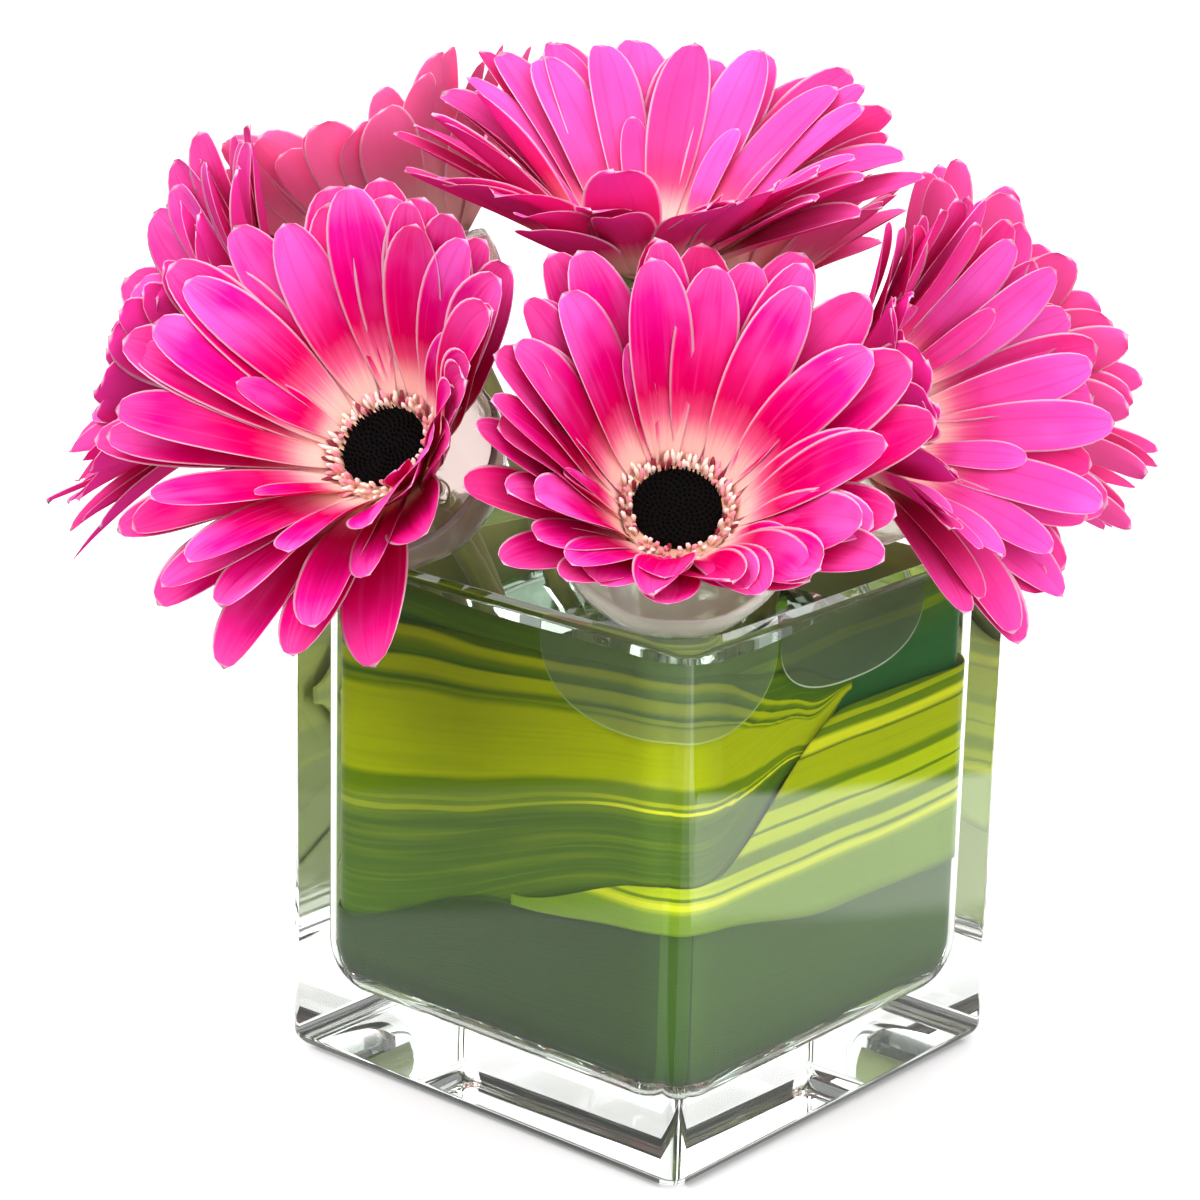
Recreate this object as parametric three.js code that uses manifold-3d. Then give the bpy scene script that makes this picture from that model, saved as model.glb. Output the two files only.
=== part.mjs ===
// Eight pink gerberas in a square, thick-walled glass vase lined with striped leaves.
// Millimetres, +Z up. The origin is the middle of the vase's base, and the vase's sides face along X and Y.
// Every bloom is one body of ray florets (its petals) and short inner florets on a round core, with the dark
// eye on top, a green calyx and stem below, and a clear plastic florist's cup round the calyx.
import * as THREE from 'three';
import Module from 'manifold-3d';

const wasm = await Module();
wasm.setup();

// Vase
const VASE_SIDE = 120;
const VASE_HEIGHT = 125;
const WALL = 6;
const FLOOR_THICKNESS = 15.5;
const OUTER_CORNER = 4;
const INNER_CORNER = 12.5;
const RIM_BEVEL = 1.2;
const FOOT_BEVEL = 2;
const CAVITY_HALF = VASE_SIDE / 2 - WALL;
const CURVE_TOP = FLOOR_THICKNESS + INNER_CORNER;

// Leaves wound round the inside of the vase, each in a shell of its own
const LEAF_THICKNESS = 0.7;
const LEAF_PITCH = 1.05;
const GAP = 0.3;
const LEAF_SHELLS = 4;
const LEAST_CORNER = 3;

// Water
const WATER_LEVEL = 104;

// Bloom
const EYE_RADIUS = 9.8;
const EYE_HEIGHT = 3.2;
const CORE_RADIUS = 13.2;
const CORE_BOTTOM = -1.2;
const CORE_TOP = 1.6;
const CORE_SIDES = 11;
const PETAL_THICKNESS = 1.1;
const PETAL_CHANNEL = 0.11;
const PETAL_ROOT_RADIUS = 12;
const CROWN_FLORETS = 8;
const STEM_RADIUS = 2.8;
const CALYX_DEPTH = 13;
const BLOOM_GAP = 1.3;

// Cup
const CUP_WALL = 0.7;
const CUP_DEPTH = 21;

// The rings of petals, from the lowest to the highest. lift is the angle above the bloom's face at the root
// and at the tip, in degrees, and root is the height of the root on the core.
const PETAL_RINGS = [
  { count: 12, length: 48, width: 14.8, lift: [25, 8], root: -0.4, rows: [0, 0.45, 0.88] },
  { count: 11, length: 44, width: 14, lift: [39, 20], root: 0.5, rows: [0, 0.45, 0.88] },
  { count: 4, length: 29, width: 8, lift: [44, 28], root: 1.2, rows: [0, 0.45, 0.88] },
];

// The blooms. at is the middle of the bloom's face, facing is the azimuth and elevation of its axis in
// degrees, azimuth measured from +X towards +Y, open is how many degrees its petals are raised above those of
// a flat bloom, and low is how many more for each ring on the bloom's lower side, or less where it hangs.
// room is its share of the space between it and its neighbours, over is how much higher that space lies than
// the bloom, foot is where its stem stands on the vase's floor, cup is the radius of its cup's rim, and size
// is the size of its petals against those of the other blooms.
const BLOOMS = [
  {
    name: 'front', at: [39, -40, 148], facing: [-47, 46], open: 20, low: [18, 14, 0],
    room: 59, over: 8, foot: [14, -14], cup: 29, size: 1.05,
  },
  {
    name: 'front_left', at: [-22, -66, 155], facing: [-81, 43], open: 14, low: [-10, -6, 0],
    room: 61, over: -6, foot: [-8, -21], cup: 25, size: 1.06,
  },
  {
    name: 'left', at: [-81, -46, 159], facing: [-128, 25], open: 17, low: [0, 0, 0],
    room: 48, over: 0, foot: [-23, -9], cup: 24, size: 1,
  },
  {
    name: 'back_left', at: [-81, 7, 179], facing: [-168, 56], open: 14, low: [0, 0, 0],
    room: 49, over: 0, foot: [-22, 9], cup: 17, size: 1,
  },
  {
    name: 'back', at: [-32, 57, 168], facing: [125, 76], open: 16, low: [0, 0, 0],
    room: 54, over: 0, foot: [-7, 21], cup: 22, size: 1,
  },
  {
    name: 'back_right', at: [22, 76, 150], facing: [76, 24], open: 8, low: [0, 0, 0],
    room: 48, over: 0, foot: [9, 21], cup: 24, size: 1,
  },
  {
    name: 'right', at: [50, 15, 160], facing: [1, 23], open: 21, low: [0, 0, 0],
    room: 53, over: 0, foot: [23, 6], cup: 27, size: 1,
  },
  {
    name: 'top', at: [-5, 2, 191], facing: [-50, 84], open: 26, low: [-28, -29, -34],
    room: 58, over: 0, foot: [0, 2], cup: 18, size: 1.14,
  },
];

const COLOURS = {
  glass: { color: 0xf2f7f5, roughness: 0.03, metalness: 0, transparent: true, opacity: 0.3 },
  leaf_dark: { color: 0x33591f, roughness: 0.45, metalness: 0 },
  leaf_striped: { color: 0x8fa016, roughness: 0.45, metalness: 0 },
  water: { color: 0xdff0e6, roughness: 0.02, metalness: 0, transparent: true, opacity: 0.4 },
  petal: { color: 0xf0259a, roughness: 0.6, metalness: 0, side: THREE.DoubleSide },
  eye: { color: 0x14060a, roughness: 0.9, metalness: 0 },
  stem: { color: 0x7f9a4c, roughness: 0.6, metalness: 0 },
  cup: { color: 0xe8efe8, roughness: 0.15, metalness: 0, transparent: true, opacity: 0.3 },
};

const radians = THREE.MathUtils.degToRad;
const lerp = THREE.MathUtils.lerp;
const smooth = (x, low, high) => THREE.MathUtils.smoothstep(x, low, high);

// A repeatable number from 0 to 1 for each whole number.
function chance(seed) {
  const x = Math.sin(seed * 127.1 + 311.7) * 43758.5453;
  return x - Math.floor(x);
}

const spread = (seed, amount) => (chance(seed) * 2 - 1) * amount;

// A closed geometry through rings with the same number of points, with a fan of triangles on each end.
// Rings run counter-clockwise seen from the end that they travel to.
function loft(rings, closed = false) {
  const count = rings[0].length;
  const positions = rings.flat().flatMap((p) => [p.x, p.y, p.z]);
  const faces = [];
  const spans = closed ? rings.length : rings.length - 1;
  for (let r = 0; r < spans; r++) {
    const low = r * count;
    const high = ((r + 1) % rings.length) * count;
    for (let i = 0; i < count; i++) {
      const j = (i + 1) % count;
      faces.push(low + i, low + j, high + j, low + i, high + j, high + i);
    }
  }
  if (!closed) {
    const last = (rings.length - 1) * count;
    for (let i = 1; i < count - 1; i++) {
      faces.push(0, i + 1, i);
      faces.push(last, last + i, last + i + 1);
    }
  }
  const geometry = new THREE.BufferGeometry();
  geometry.setAttribute('position', new THREE.Float32BufferAttribute(positions, 3));
  geometry.setIndex(faces);
  return geometry;
}

function toSolid(geometry) {
  const vertProperties = new Float32Array(geometry.getAttribute('position').array);
  const triVerts = new Uint32Array(geometry.index.array);
  return new wasm.Manifold(new wasm.Mesh({ numProp: 3, vertProperties, triVerts }));
}

function toGeometry(solid) {
  const mesh = solid.getMesh();
  const positions = [];
  for (let i = 0; i < mesh.numVert; i++) {
    positions.push(...mesh.vertProperties.subarray(i * mesh.numProp, i * mesh.numProp + 3));
  }
  const geometry = new THREE.BufferGeometry();
  geometry.setAttribute('position', new THREE.Float32BufferAttribute(positions, 3));
  geometry.setIndex([...mesh.triVerts]);
  return geometry;
}

// The largest connected body of a solid, without the scraps that a union can leave.
function mainBody(solid) {
  return solid.decompose().reduce((a, b) => (a.volume() > b.volume() ? a : b));
}

// Ring of a square with rounded corners, counter-clockwise seen from above.
const CORNER_STEPS = 2;

function squareRing(half, corner, z) {
  const points = [];
  for (let k = 0; k < 4; k++) {
    for (let i = 0; i <= CORNER_STEPS; i++) {
      const angle = ((k + i / CORNER_STEPS) * Math.PI) / 2;
      const cx = (k === 0 || k === 3 ? 1 : -1) * (half - corner);
      const cy = (k < 2 ? 1 : -1) * (half - corner);
      points.push(new THREE.Vector3(cx + corner * Math.cos(angle), cy + corner * Math.sin(angle), z));
    }
  }
  return points;
}

// Ring of the vase's inner wall, drawn in by inset. The leaves and the water follow the same outline.
const innerCorner = (inset) => Math.max(INNER_CORNER - inset, LEAST_CORNER);
const innerRing = (inset, z) => squareRing(CAVITY_HALF - inset, innerCorner(inset), z);

// Vase: up the outside, over the rim and down the inside to a floor with a rounded edge.
function vaseGeometry() {
  const half = VASE_SIDE / 2;
  const outside = (inset, z) => squareRing(half - inset, OUTER_CORNER, z);
  const turn = (degrees) => INNER_CORNER * (1 - Math.cos(radians(degrees)));
  const fall = (degrees) => CURVE_TOP - INNER_CORNER * Math.sin(radians(degrees));
  return loft([
    outside(FOOT_BEVEL, 0),
    outside(0, FOOT_BEVEL),
    outside(0, VASE_HEIGHT - RIM_BEVEL),
    outside(RIM_BEVEL, VASE_HEIGHT),
    innerRing(-RIM_BEVEL, VASE_HEIGHT),
    innerRing(0, VASE_HEIGHT - RIM_BEVEL),
    innerRing(turn(0), fall(0)),
    innerRing(turn(30), fall(30)),
    innerRing(turn(60), fall(60)),
    innerRing(turn(90), fall(90)),
  ]);
}

// Point on the inner wall's outline, drawn in by inset. Turns run counter-clockwise seen from above: 0 is the
// middle of the corner at +X -Y, 1 that at +X +Y, 2 that at -X +Y and 3 or -1 that at -X -Y.
const CORNER_SHARE = 0.07;

function wallPoint(turns, inset) {
  const half = CAVITY_HALF - inset;
  const corner = innerCorner(inset);
  const k = Math.round(turns);
  const past = turns - k;
  const local = new THREE.Vector3();
  if (Math.abs(past) < CORNER_SHARE) {
    const angle = (past / CORNER_SHARE) * Math.PI / 4 - Math.PI / 4;
    local.set(half - corner + corner * Math.cos(angle), corner - half + corner * Math.sin(angle), 0);
  } else if (past > 0) {
    const share = (past - CORNER_SHARE) / (1 - 2 * CORNER_SHARE);
    local.set(half, lerp(corner - half, half - corner, share), 0);
  } else {
    const share = (-past - CORNER_SHARE) / (1 - 2 * CORNER_SHARE);
    local.set(lerp(half - corner, corner - half, share), -half, 0);
  }
  return local.applyAxisAngle(new THREE.Vector3(0, 0, 1), (k * Math.PI) / 2);
}

// Where a leaf has its cross-sections between two turns: more of them round each corner.
function leafStations(from, to) {
  const stops = [-CORNER_SHARE, 0, CORNER_SHARE, 0.36, 0.64];
  const stations = [from];
  for (let k = Math.floor(from) - 1; k <= Math.ceil(to); k++) {
    for (const s of stops) {
      if (k + s > from + 0.06 && k + s < to - 0.06) stations.push(k + s);
    }
  }
  stations.push(to);
  return stations;
}

// Height of a leaf's edge at a number of turns, eased between the given [turns, height] points.
function edgeHeight(points, turns) {
  for (let i = 1; i < points.length; i++) {
    if (turns <= points[i][0]) {
      return lerp(points[i - 1][1], points[i][1], smooth(turns, points[i - 1][0], points[i][0]));
    }
  }
  return points[points.length - 1][1];
}

// How far the rounded edge of the floor pushes a leaf in from the wall at a height.
function floorPush(z) {
  const down = THREE.MathUtils.clamp(CURVE_TOP - z, 0, INNER_CORNER);
  return INNER_CORNER - Math.sqrt(INNER_CORNER ** 2 - down ** 2);
}

// Leaf: a thin strip that follows the inner wall in its own shell, between its lower and upper edge.
// shell 0 lies against the glass. levels are the shares of the leaf's width where it has a line of points.
// Where the lower edge turns in over the floor, its inner face starts a little higher, to stay thick.
const CURLED_RAISE = 0.5;

function leafGeometry({ shell, top, bottom, levels }) {
  const outer = GAP + shell * LEAF_PITCH;
  const inner = outer + LEAF_THICKNESS;
  const rings = leafStations(top[0][0], top[top.length - 1][0]).map((turns) => {
    const low = edgeHeight(bottom, turns);
    const high = edgeHeight(top, turns);
    const at = (share, inset, raised) => {
      const z = lerp(low, high, share) + raised;
      return wallPoint(turns, inset + floorPush(z)).setZ(z);
    };
    const raise = low < CURVE_TOP ? CURLED_RAISE : 0;
    const front = levels.map((share) => at(share, outer, 0));
    const back = [...levels].reverse().map((share) => at(share, inner, (1 - share) * raise));
    return [...front, ...back];
  });
  return loft(rings.reverse());
}

const LEAVES = [
  {
    name: 'leaf_sloping',
    colour: 'leaf_striped',
    shell: 0,
    levels: [0, 0.5, 1],
    top: [[-0.42, 56], [0, 68.5], [0.52, 99], [1, 97], [1.6, 110], [2.4, 106], [2.8, 84]],
    bottom: [[-0.42, 53.5], [0, 57.5], [0.5, 50], [1, 48.5], [1.6, 54], [2.4, 60], [2.8, 80]],
  },
  {
    name: 'leaf_low',
    colour: 'leaf_dark',
    shell: 1,
    levels: [0, 0.06, 0.14, 0.3, 1],
    top: [[-1.93, 58], [-1, 37], [-0.42, 53.7], [0, 61], [1, 60], [1.9, 58]],
    bottom: [[-1.93, 20.6], [1.9, 20.6]],
  },
  {
    name: 'leaf_banded',
    colour: 'leaf_striped',
    shell: 2,
    levels: [0, 0.5, 1],
    top: [[-2.6, 76], [-2, 100], [-1, 112], [0, 116], [0.3, 112], [0.54, 104]],
    bottom: [[-2.6, 72], [-2, 40], [-1, 32], [0, 64], [0.36, 88], [0.54, 101.5]],
  },
  {
    name: 'leaf_lining',
    colour: 'leaf_dark',
    shell: 3,
    levels: [0, 0.5, 1],
    top: [[-1.9, 117], [-1, 121], [0, 119], [1, 121.5], [1.92, 118]],
    bottom: [[-1.9, 30], [1.92, 30]],
  },
];

// The frame of a bloom: its middle, its axis, and two directions across it, of which across lies level.
function frameOf({ at, facing }) {
  const [azimuth, elevation] = facing.map(radians);
  const axis = new THREE.Vector3(
    Math.cos(azimuth) * Math.cos(elevation),
    Math.sin(azimuth) * Math.cos(elevation),
    Math.sin(elevation),
  );
  const across = new THREE.Vector3(-Math.sin(azimuth), Math.cos(azimuth), 0);
  const rise = new THREE.Vector3().crossVectors(axis, across);
  return { middle: new THREE.Vector3(...at), axis, across, rise };
}

const along = (start, direction, length) => start.clone().addScaledVector(direction, length);

// The direction at an angle from a first direction towards a second one square to it.
const between = (first, second, angle) =>
  first.clone().multiplyScalar(Math.cos(angle)).addScaledVector(second, Math.sin(angle));

const radialOf = ({ across, rise }, angle) => between(across, rise, angle);

// Ring of points round a bloom's axis.
function bloomRing(frame, radius, height, sides) {
  const centre = along(frame.middle, frame.axis, height);
  const step = (Math.PI * 2) / sides;
  return Array.from({ length: sides }, (_, i) => along(centre, radialOf(frame, i * step), radius));
}

// The planes that keep a bloom apart from its neighbours: each has a point's distance past it as a function.
// They lie between points a little in front of the blooms' faces, nearer to the bloom with less room.
const CELL_FORWARD = 12;

// Planes between blooms whose petals lie over those of a neighbour: the bloom on the upper side, the one on
// the lower side, a point on the plane, and its normal towards the upper side. The upper bloom may reach past
// the ordinary plane between the two, and the lower one keeps to both.
const SHELVES = [
  { over: 'top', under: 'front', point: [27, -27, 203], normal: [-0.3, 0.3, 0.906] },
  { over: 'top', under: 'front_left', point: [-25, -47, 208.5], normal: [0.2, 0.43, 0.88] },
  { over: 'top', under: 'right', point: [55, 14, 209], normal: [-0.4, -0.08, 0.913] },
];

// The plane between the two blooms at the front leans over to the right, so that the left one's upper petals
// and the right one's lower petals have the more room.
const LEANING = { over: 'front', under: 'front_left', point: [10.5, -61, 161], normal: [0.91, 0.39, -0.1] };

function placedPlanes(name) {
  const placed = [...SHELVES, LEANING].filter(({ over, under }) => name === over || name === under);
  return placed.map((plane) => {
    const normal = new THREE.Vector3(...plane.normal).normalize();
    const point = new THREE.Vector3(...plane.point);
    const side = name === plane.over ? -1 : 1;
    return (petalPoint) => side * petalPoint.clone().sub(point).dot(normal);
  });
}

function cellPlanes(index, frames) {
  const heart = (i) => {
    const point = along(frames[i].middle, frames[i].axis, CELL_FORWARD);
    point.z += BLOOMS[i].over;
    return point;
  };
  const own = heart(index);
  const name = BLOOMS[index].name;
  const onShelf = (other) => SHELVES.some(({ over, under }) => over === name && under === other);
  const leaning = (other) => [LEANING.over, LEANING.under].every((side) => side === name || side === other);
  const planes = frames.flatMap((_, other) => {
    if (other === index || onShelf(BLOOMS[other].name) || leaning(BLOOMS[other].name)) return [];
    const normal = heart(other).sub(own);
    const distance = normal.length();
    normal.normalize();
    const reach = (distance ** 2 + BLOOMS[index].room ** 2 - BLOOMS[other].room ** 2) / (2 * distance);
    return [(point) => point.clone().sub(own).dot(normal) - reach];
  });
  return [...planes, ...placedPlanes(name)];
}

const VASE_CLEARANCE = 1.5;

function hitsVase(point) {
  const reach = VASE_SIDE / 2 + VASE_CLEARANCE;
  return Math.abs(point.x) < reach && Math.abs(point.y) < reach && point.z < VASE_HEIGHT + VASE_CLEARANCE;
}

// Half the width of a petal at a share of its length, as a share of its greatest width: it widens from a
// narrow root to WIDEST_AT and then rounds off to its tip.
const WIDEST_AT = 0.66;
const ROOT_WIDTH = 0.24;
const TIP_ROUNDNESS = 2.4;
const TIP_SPAN = 0.36;

function petalHalfWidth(share) {
  if (share <= WIDEST_AT) {
    return 0.5 * lerp(ROOT_WIDTH, 1, Math.sin((Math.PI / 2) * (share / WIDEST_AT)));
  }
  return 0.5 * Math.sqrt(1 - ((share - WIDEST_AT) / TIP_SPAN) ** TIP_ROUNDNESS);
}

// The rows of a petal's middle surface. Each row has its middle, its sideways direction and its normal.
// press bends the petal up by so many degrees, less so at its root, to keep it clear of what it would run
// into, and turns it on its length by a share of that, so that bent petals still lie over one another.
const PETAL_STEPS = 16;
const MOST_LIFT = 104;
const ROOT_PRESS = 0.45;
const FULL_PRESS_AT = 0.55;
const FULL_ROLL_AT = 0.4;
const PRESSED_ROLL = 0.22;

function petalRows(frame, petal, press) {
  const outward = radialOf(frame, petal.angle);
  const sideways = new THREE.Vector3().crossVectors(frame.axis, outward);
  const rows = [];
  let radius = PETAL_ROOT_RADIUS;
  let height = petal.root;
  for (let i = 0; i <= PETAL_STEPS; i++) {
    const share = i / PETAL_STEPS;
    const bend = press * lerp(ROOT_PRESS, 1, smooth(share, 0, FULL_PRESS_AT));
    const lift = radians(Math.min(MOST_LIFT, lerp(petal.lift[0], petal.lift[1], share) + bend));
    const forward = between(outward, frame.axis, lift);
    const roll = (petal.roll + radians(press * PRESSED_ROLL)) * smooth(share, 0, FULL_ROLL_AT);
    const side = sideways.clone().applyAxisAngle(forward, roll);
    const normal = new THREE.Vector3().crossVectors(forward, side);
    const middle = along(along(frame.middle, outward, radius), frame.axis, height);
    rows.push({ share, middle, side, normal, half: petalHalfWidth(share) * petal.width });
    const step = petal.length / PETAL_STEPS;
    radius += step * Math.cos(lift);
    height += step * Math.sin(lift);
  }
  return rows;
}

const edgeOf = (row, sign) =>
  along(along(row.middle, row.side, sign * row.half), row.normal, 2 * row.half * PETAL_CHANNEL);

// Whether a petal is clear of the vase and of its bloom's neighbours, its root left out.
const ROOT_SHARE = 0.12;

function isClear(rows, planes, gap) {
  return rows.every((row) => {
    if (row.share < ROOT_SHARE) return true;
    return [row.middle, edgeOf(row, 1), edgeOf(row, -1)].every(
      (point) => !hitsVase(point) && planes.every((past) => past(point) < -gap),
    );
  });
}

// Petal bent up just enough to be clear, from a first press on, and shortened only if that isn't enough.
const PRESS_STEP = 2;
const SHORTER_STEP = 0.08;
const SHORTEST = 0.4;

function fittedPetal(frame, petal, planes, gap, firstPress) {
  for (let shorter = 1; shorter > SHORTEST; shorter -= SHORTER_STEP) {
    const tried = { ...petal, length: petal.length * shorter };
    for (let press = firstPress; press <= MOST_LIFT - petal.lift[1]; press += PRESS_STEP) {
      const rows = petalRows(frame, tried, press);
      if (isClear(rows, planes, gap)) return { angle: petal.angle, press, rows };
    }
  }
  throw new Error('a petal finds no room');
}

// The press that a petal takes over from the petals below it, which lie nearest to its angle.
const PRESS_SHARED = 0.5;

function pressBelow(fitted, angle, spacing) {
  const near = fitted.filter((petal) => Math.cos(petal.angle - angle) > Math.cos(spacing));
  return near.reduce((most, petal) => Math.max(most, petal.press * PRESS_SHARED), 0);
}

// The petals of one ring, each a little different. A petal is rolled a few degrees to overlap the next.
const TURN_SPREAD = 0.1;
const LENGTH_SPREAD = 0.07;
const WIDTH_SPREAD = 0.08;
const LIFT_SPREAD = 4;
const TIP_LIFT_SPREAD = 5;
const ROLL = 9;
const ROLL_SPREAD = 3;

function ringPetals(bloomIndex, ringIndex) {
  const ring = PETAL_RINGS[ringIndex];
  const { open, low, size } = BLOOMS[bloomIndex];
  return Array.from({ length: ring.count }, (_, i) => {
    const seed = bloomIndex * 1000 + ringIndex * 100 + i;
    const turn = i + 0.5 * ringIndex + spread(seed, TURN_SPREAD);
    const angle = (turn / ring.count) * Math.PI * 2;
    const lowness = ((1 - Math.sin(angle)) / 2) ** 2;
    const lifted = open + low[ringIndex] * lowness + spread(seed + 0.3, LIFT_SPREAD);
    return {
      angle,
      length: ring.length * size * (1 + spread(seed + 0.1, LENGTH_SPREAD)),
      width: ring.width * size * (1 + spread(seed + 0.2, WIDTH_SPREAD)),
      lift: [ring.lift[0] + lifted, ring.lift[1] + lifted + spread(seed + 0.4, TIP_LIFT_SPREAD)],
      root: ring.root,
      roll: radians(ROLL + spread(seed + 0.5, ROLL_SPREAD)),
    };
  });
}

// Petal blade: a shallow channel, thickest along its middle, that closes at its edges and its tip.
function petalGeometry(rows, shares) {
  const picked = shares.map((share) => rows[Math.round(share * PETAL_STEPS)]);
  const rings = picked.map((row) => [
    edgeOf(row, 1),
    along(row.middle, row.normal, PETAL_THICKNESS / 2),
    edgeOf(row, -1),
    along(row.middle, row.normal, -PETAL_THICKNESS / 2),
  ]);
  const tip = rows[PETAL_STEPS].middle;
  const positions = [...rings.flat(), tip].flatMap((p) => [p.x, p.y, p.z]);
  const faces = [0, 2, 1, 0, 3, 2];
  const quad = (a, b, c, d) => faces.push(a, b, c, a, c, d);
  for (let r = 0; r < rings.length - 1; r++) {
    const low = r * 4;
    const high = low + 4;
    quad(low, low + 1, high + 1, high);
    quad(low + 1, low + 2, high + 2, high + 1);
    quad(low + 2, low + 3, high + 3, high + 2);
    quad(low + 3, low, high, high + 3);
  }
  const last = (rings.length - 1) * 4;
  for (let i = 0; i < 4; i++) faces.push(last + i, last + ((i + 1) % 4), last + 4);
  const geometry = new THREE.BufferGeometry();
  geometry.setAttribute('position', new THREE.Float32BufferAttribute(positions, 3));
  geometry.setIndex(faces);
  return geometry;
}

// One of the short florets that stand in a crown round the eye: a three-sided spike.
const CROWN_RADIUS = EYE_RADIUS + 1.1;
const CROWN_HEIGHT = 3.6;
const FLORET_RADIUS = 0.75;
const FLORET_TAPER = 0.35;

function crownFloret(frame, bloomIndex, i) {
  const seed = 7000 + bloomIndex * 100 + i;
  const angle = ((i + spread(seed, 0.25)) / CROWN_FLORETS) * Math.PI * 2;
  const leaning = angle + spread(seed + 0.2, 0.1);
  const height = CORE_TOP + CROWN_HEIGHT + spread(seed + 0.4, 1.2);
  const base = along(along(frame.middle, radialOf(frame, angle), CROWN_RADIUS), frame.axis, CORE_TOP - 0.5);
  const tip = along(along(frame.middle, radialOf(frame, leaning), CROWN_RADIUS), frame.axis, height);
  const third = (Math.PI * 2) / 3;
  const foot = [0, 1, 2].map((k) => along(base, radialOf(frame, k * third + angle), FLORET_RADIUS));
  const top = foot.map((p) => along(tip, p.clone().sub(base), FLORET_TAPER));
  return loft([foot, top]);
}

// Rays: the core with its rings of petals and its crown, as one body. Higher rings keep further from what
// they would run into, and so does every other petal, so that petals bent up together pass one another.
const RING_GAP = 1.7;
const STAGGER = 0.8;

function raysSolid(frame, bloomIndex, planes) {
  const core = loft([
    bloomRing(frame, CORE_RADIUS - 1.5, CORE_BOTTOM, CORE_SIDES),
    bloomRing(frame, CORE_RADIUS, CORE_BOTTOM + 1, CORE_SIDES),
    bloomRing(frame, CORE_RADIUS - 0.3, CORE_TOP, CORE_SIDES),
  ]);
  const parts = [toSolid(core)];
  let below = [];
  PETAL_RINGS.forEach((ring, ringIndex) => {
    const spacing = (Math.PI * 2) / ring.count;
    below = ringPetals(bloomIndex, ringIndex).map((petal, i) => {
      const gap = BLOOM_GAP + ringIndex * RING_GAP + (i % 2) * STAGGER;
      return fittedPetal(frame, petal, planes, gap, pressBelow(below, petal.angle, spacing));
    });
    below.forEach(({ rows }) => parts.push(toSolid(petalGeometry(rows, ring.rows))));
  });
  for (let i = 0; i < CROWN_FLORETS; i++) parts.push(toSolid(crownFloret(frame, bloomIndex, i)));
  return mainBody(wasm.Manifold.union(parts));
}

// Eye: a low dome of dark disc florets with a sunken middle, its surface raised and lowered in turn.
const EYE_SIDES = 12;
const EYE_RELIEF = 0.35;

function eyeGeometry(frame) {
  const low = CORE_TOP + GAP;
  const bumpy = (radius, height) => bloomRing(frame, radius, height, EYE_SIDES).map((p, i) =>
    along(p, frame.axis, i % 2 ? EYE_RELIEF : -EYE_RELIEF));
  return loft([
    bloomRing(frame, EYE_RADIUS, low, EYE_SIDES),
    bumpy(EYE_RADIUS * 0.8, low + EYE_HEIGHT),
    bumpy(EYE_RADIUS * 0.48, low + EYE_HEIGHT * 0.75),
    bloomRing(frame, EYE_RADIUS * 0.2, low + EYE_HEIGHT * 0.5, EYE_SIDES),
  ]);
}

// The line of a stem, from just under its cup to the floor of the vase.
const STEM_LEAD = 30;
const STEM_RISE = 75;
const STEM_STRAIGHT = CUP_DEPTH + 2;

function stemCurve({ foot }, frame) {
  const start = along(frame.middle, frame.axis, -STEM_STRAIGHT);
  const end = new THREE.Vector3(foot[0], foot[1], FLOOR_THICKNESS + GAP);
  return new THREE.CubicBezierCurve3(
    start,
    along(start, frame.axis, -STEM_LEAD),
    end.clone().setZ(end.z + STEM_RISE),
    end,
  );
}

// Rings round a stem's line past its start, carried along it without twist and level at its foot.
const STEM_SIDES = 7;
const STEM_STEPS = 5;

function stemRings(bloom, frame, radius) {
  const curve = stemCurve(bloom, frame);
  const across = frame.across.clone();
  const rings = [];
  for (let i = 1; i <= STEM_STEPS; i++) {
    const point = curve.getPoint(i / STEM_STEPS);
    const down = i === STEM_STEPS ? new THREE.Vector3(0, 0, -1) : curve.getTangent(i / STEM_STEPS);
    across.addScaledVector(down, -across.dot(down)).normalize();
    const other = new THREE.Vector3().crossVectors(down.clone().negate(), across);
    rings.push(Array.from({ length: STEM_SIDES }, (_, k) => {
      const angle = (k / STEM_SIDES) * Math.PI * 2;
      return along(along(point, across, radius * Math.cos(angle)), other, radius * Math.sin(angle));
    }));
  }
  return rings;
}

function stemGeometry(bloom, frame) {
  const calyx = [
    [CORE_RADIUS - 2.4, CORE_BOTTOM - GAP],
    [CORE_RADIUS - 1.6, CORE_BOTTOM - 2.4],
    [8.2, -8],
    [STEM_RADIUS, -CALYX_DEPTH],
    [STEM_RADIUS, -STEM_STRAIGHT],
  ].map(([radius, height]) => bloomRing(frame, radius, height, STEM_SIDES));
  return loft([...calyx, ...stemRings(bloom, frame, STEM_RADIUS)].reverse());
}

// Florist's cup: a thin clear bowl under the petals, open at its rim, with a hole for the stem.
const CUP_SIDES = 11;
const CUP_HOLE_RADIUS = STEM_RADIUS + 0.5;

function cupGeometry(rimRadius, frame) {
  const outline = [
    [rimRadius, -1.5],
    [rimRadius * 0.8, -CUP_DEPTH * 0.62],
    [CUP_HOLE_RADIUS, -CUP_DEPTH],
  ];
  const inner = outline.map(([radius, height], i) =>
    bloomRing(frame, radius - (i < 2 ? CUP_WALL : 0), height + (i ? CUP_WALL : 0), CUP_SIDES));
  const outer = outline.map(([radius, height]) => bloomRing(frame, radius, height, CUP_SIDES)).reverse();
  return loft([...inner, ...outer], true);
}

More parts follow.
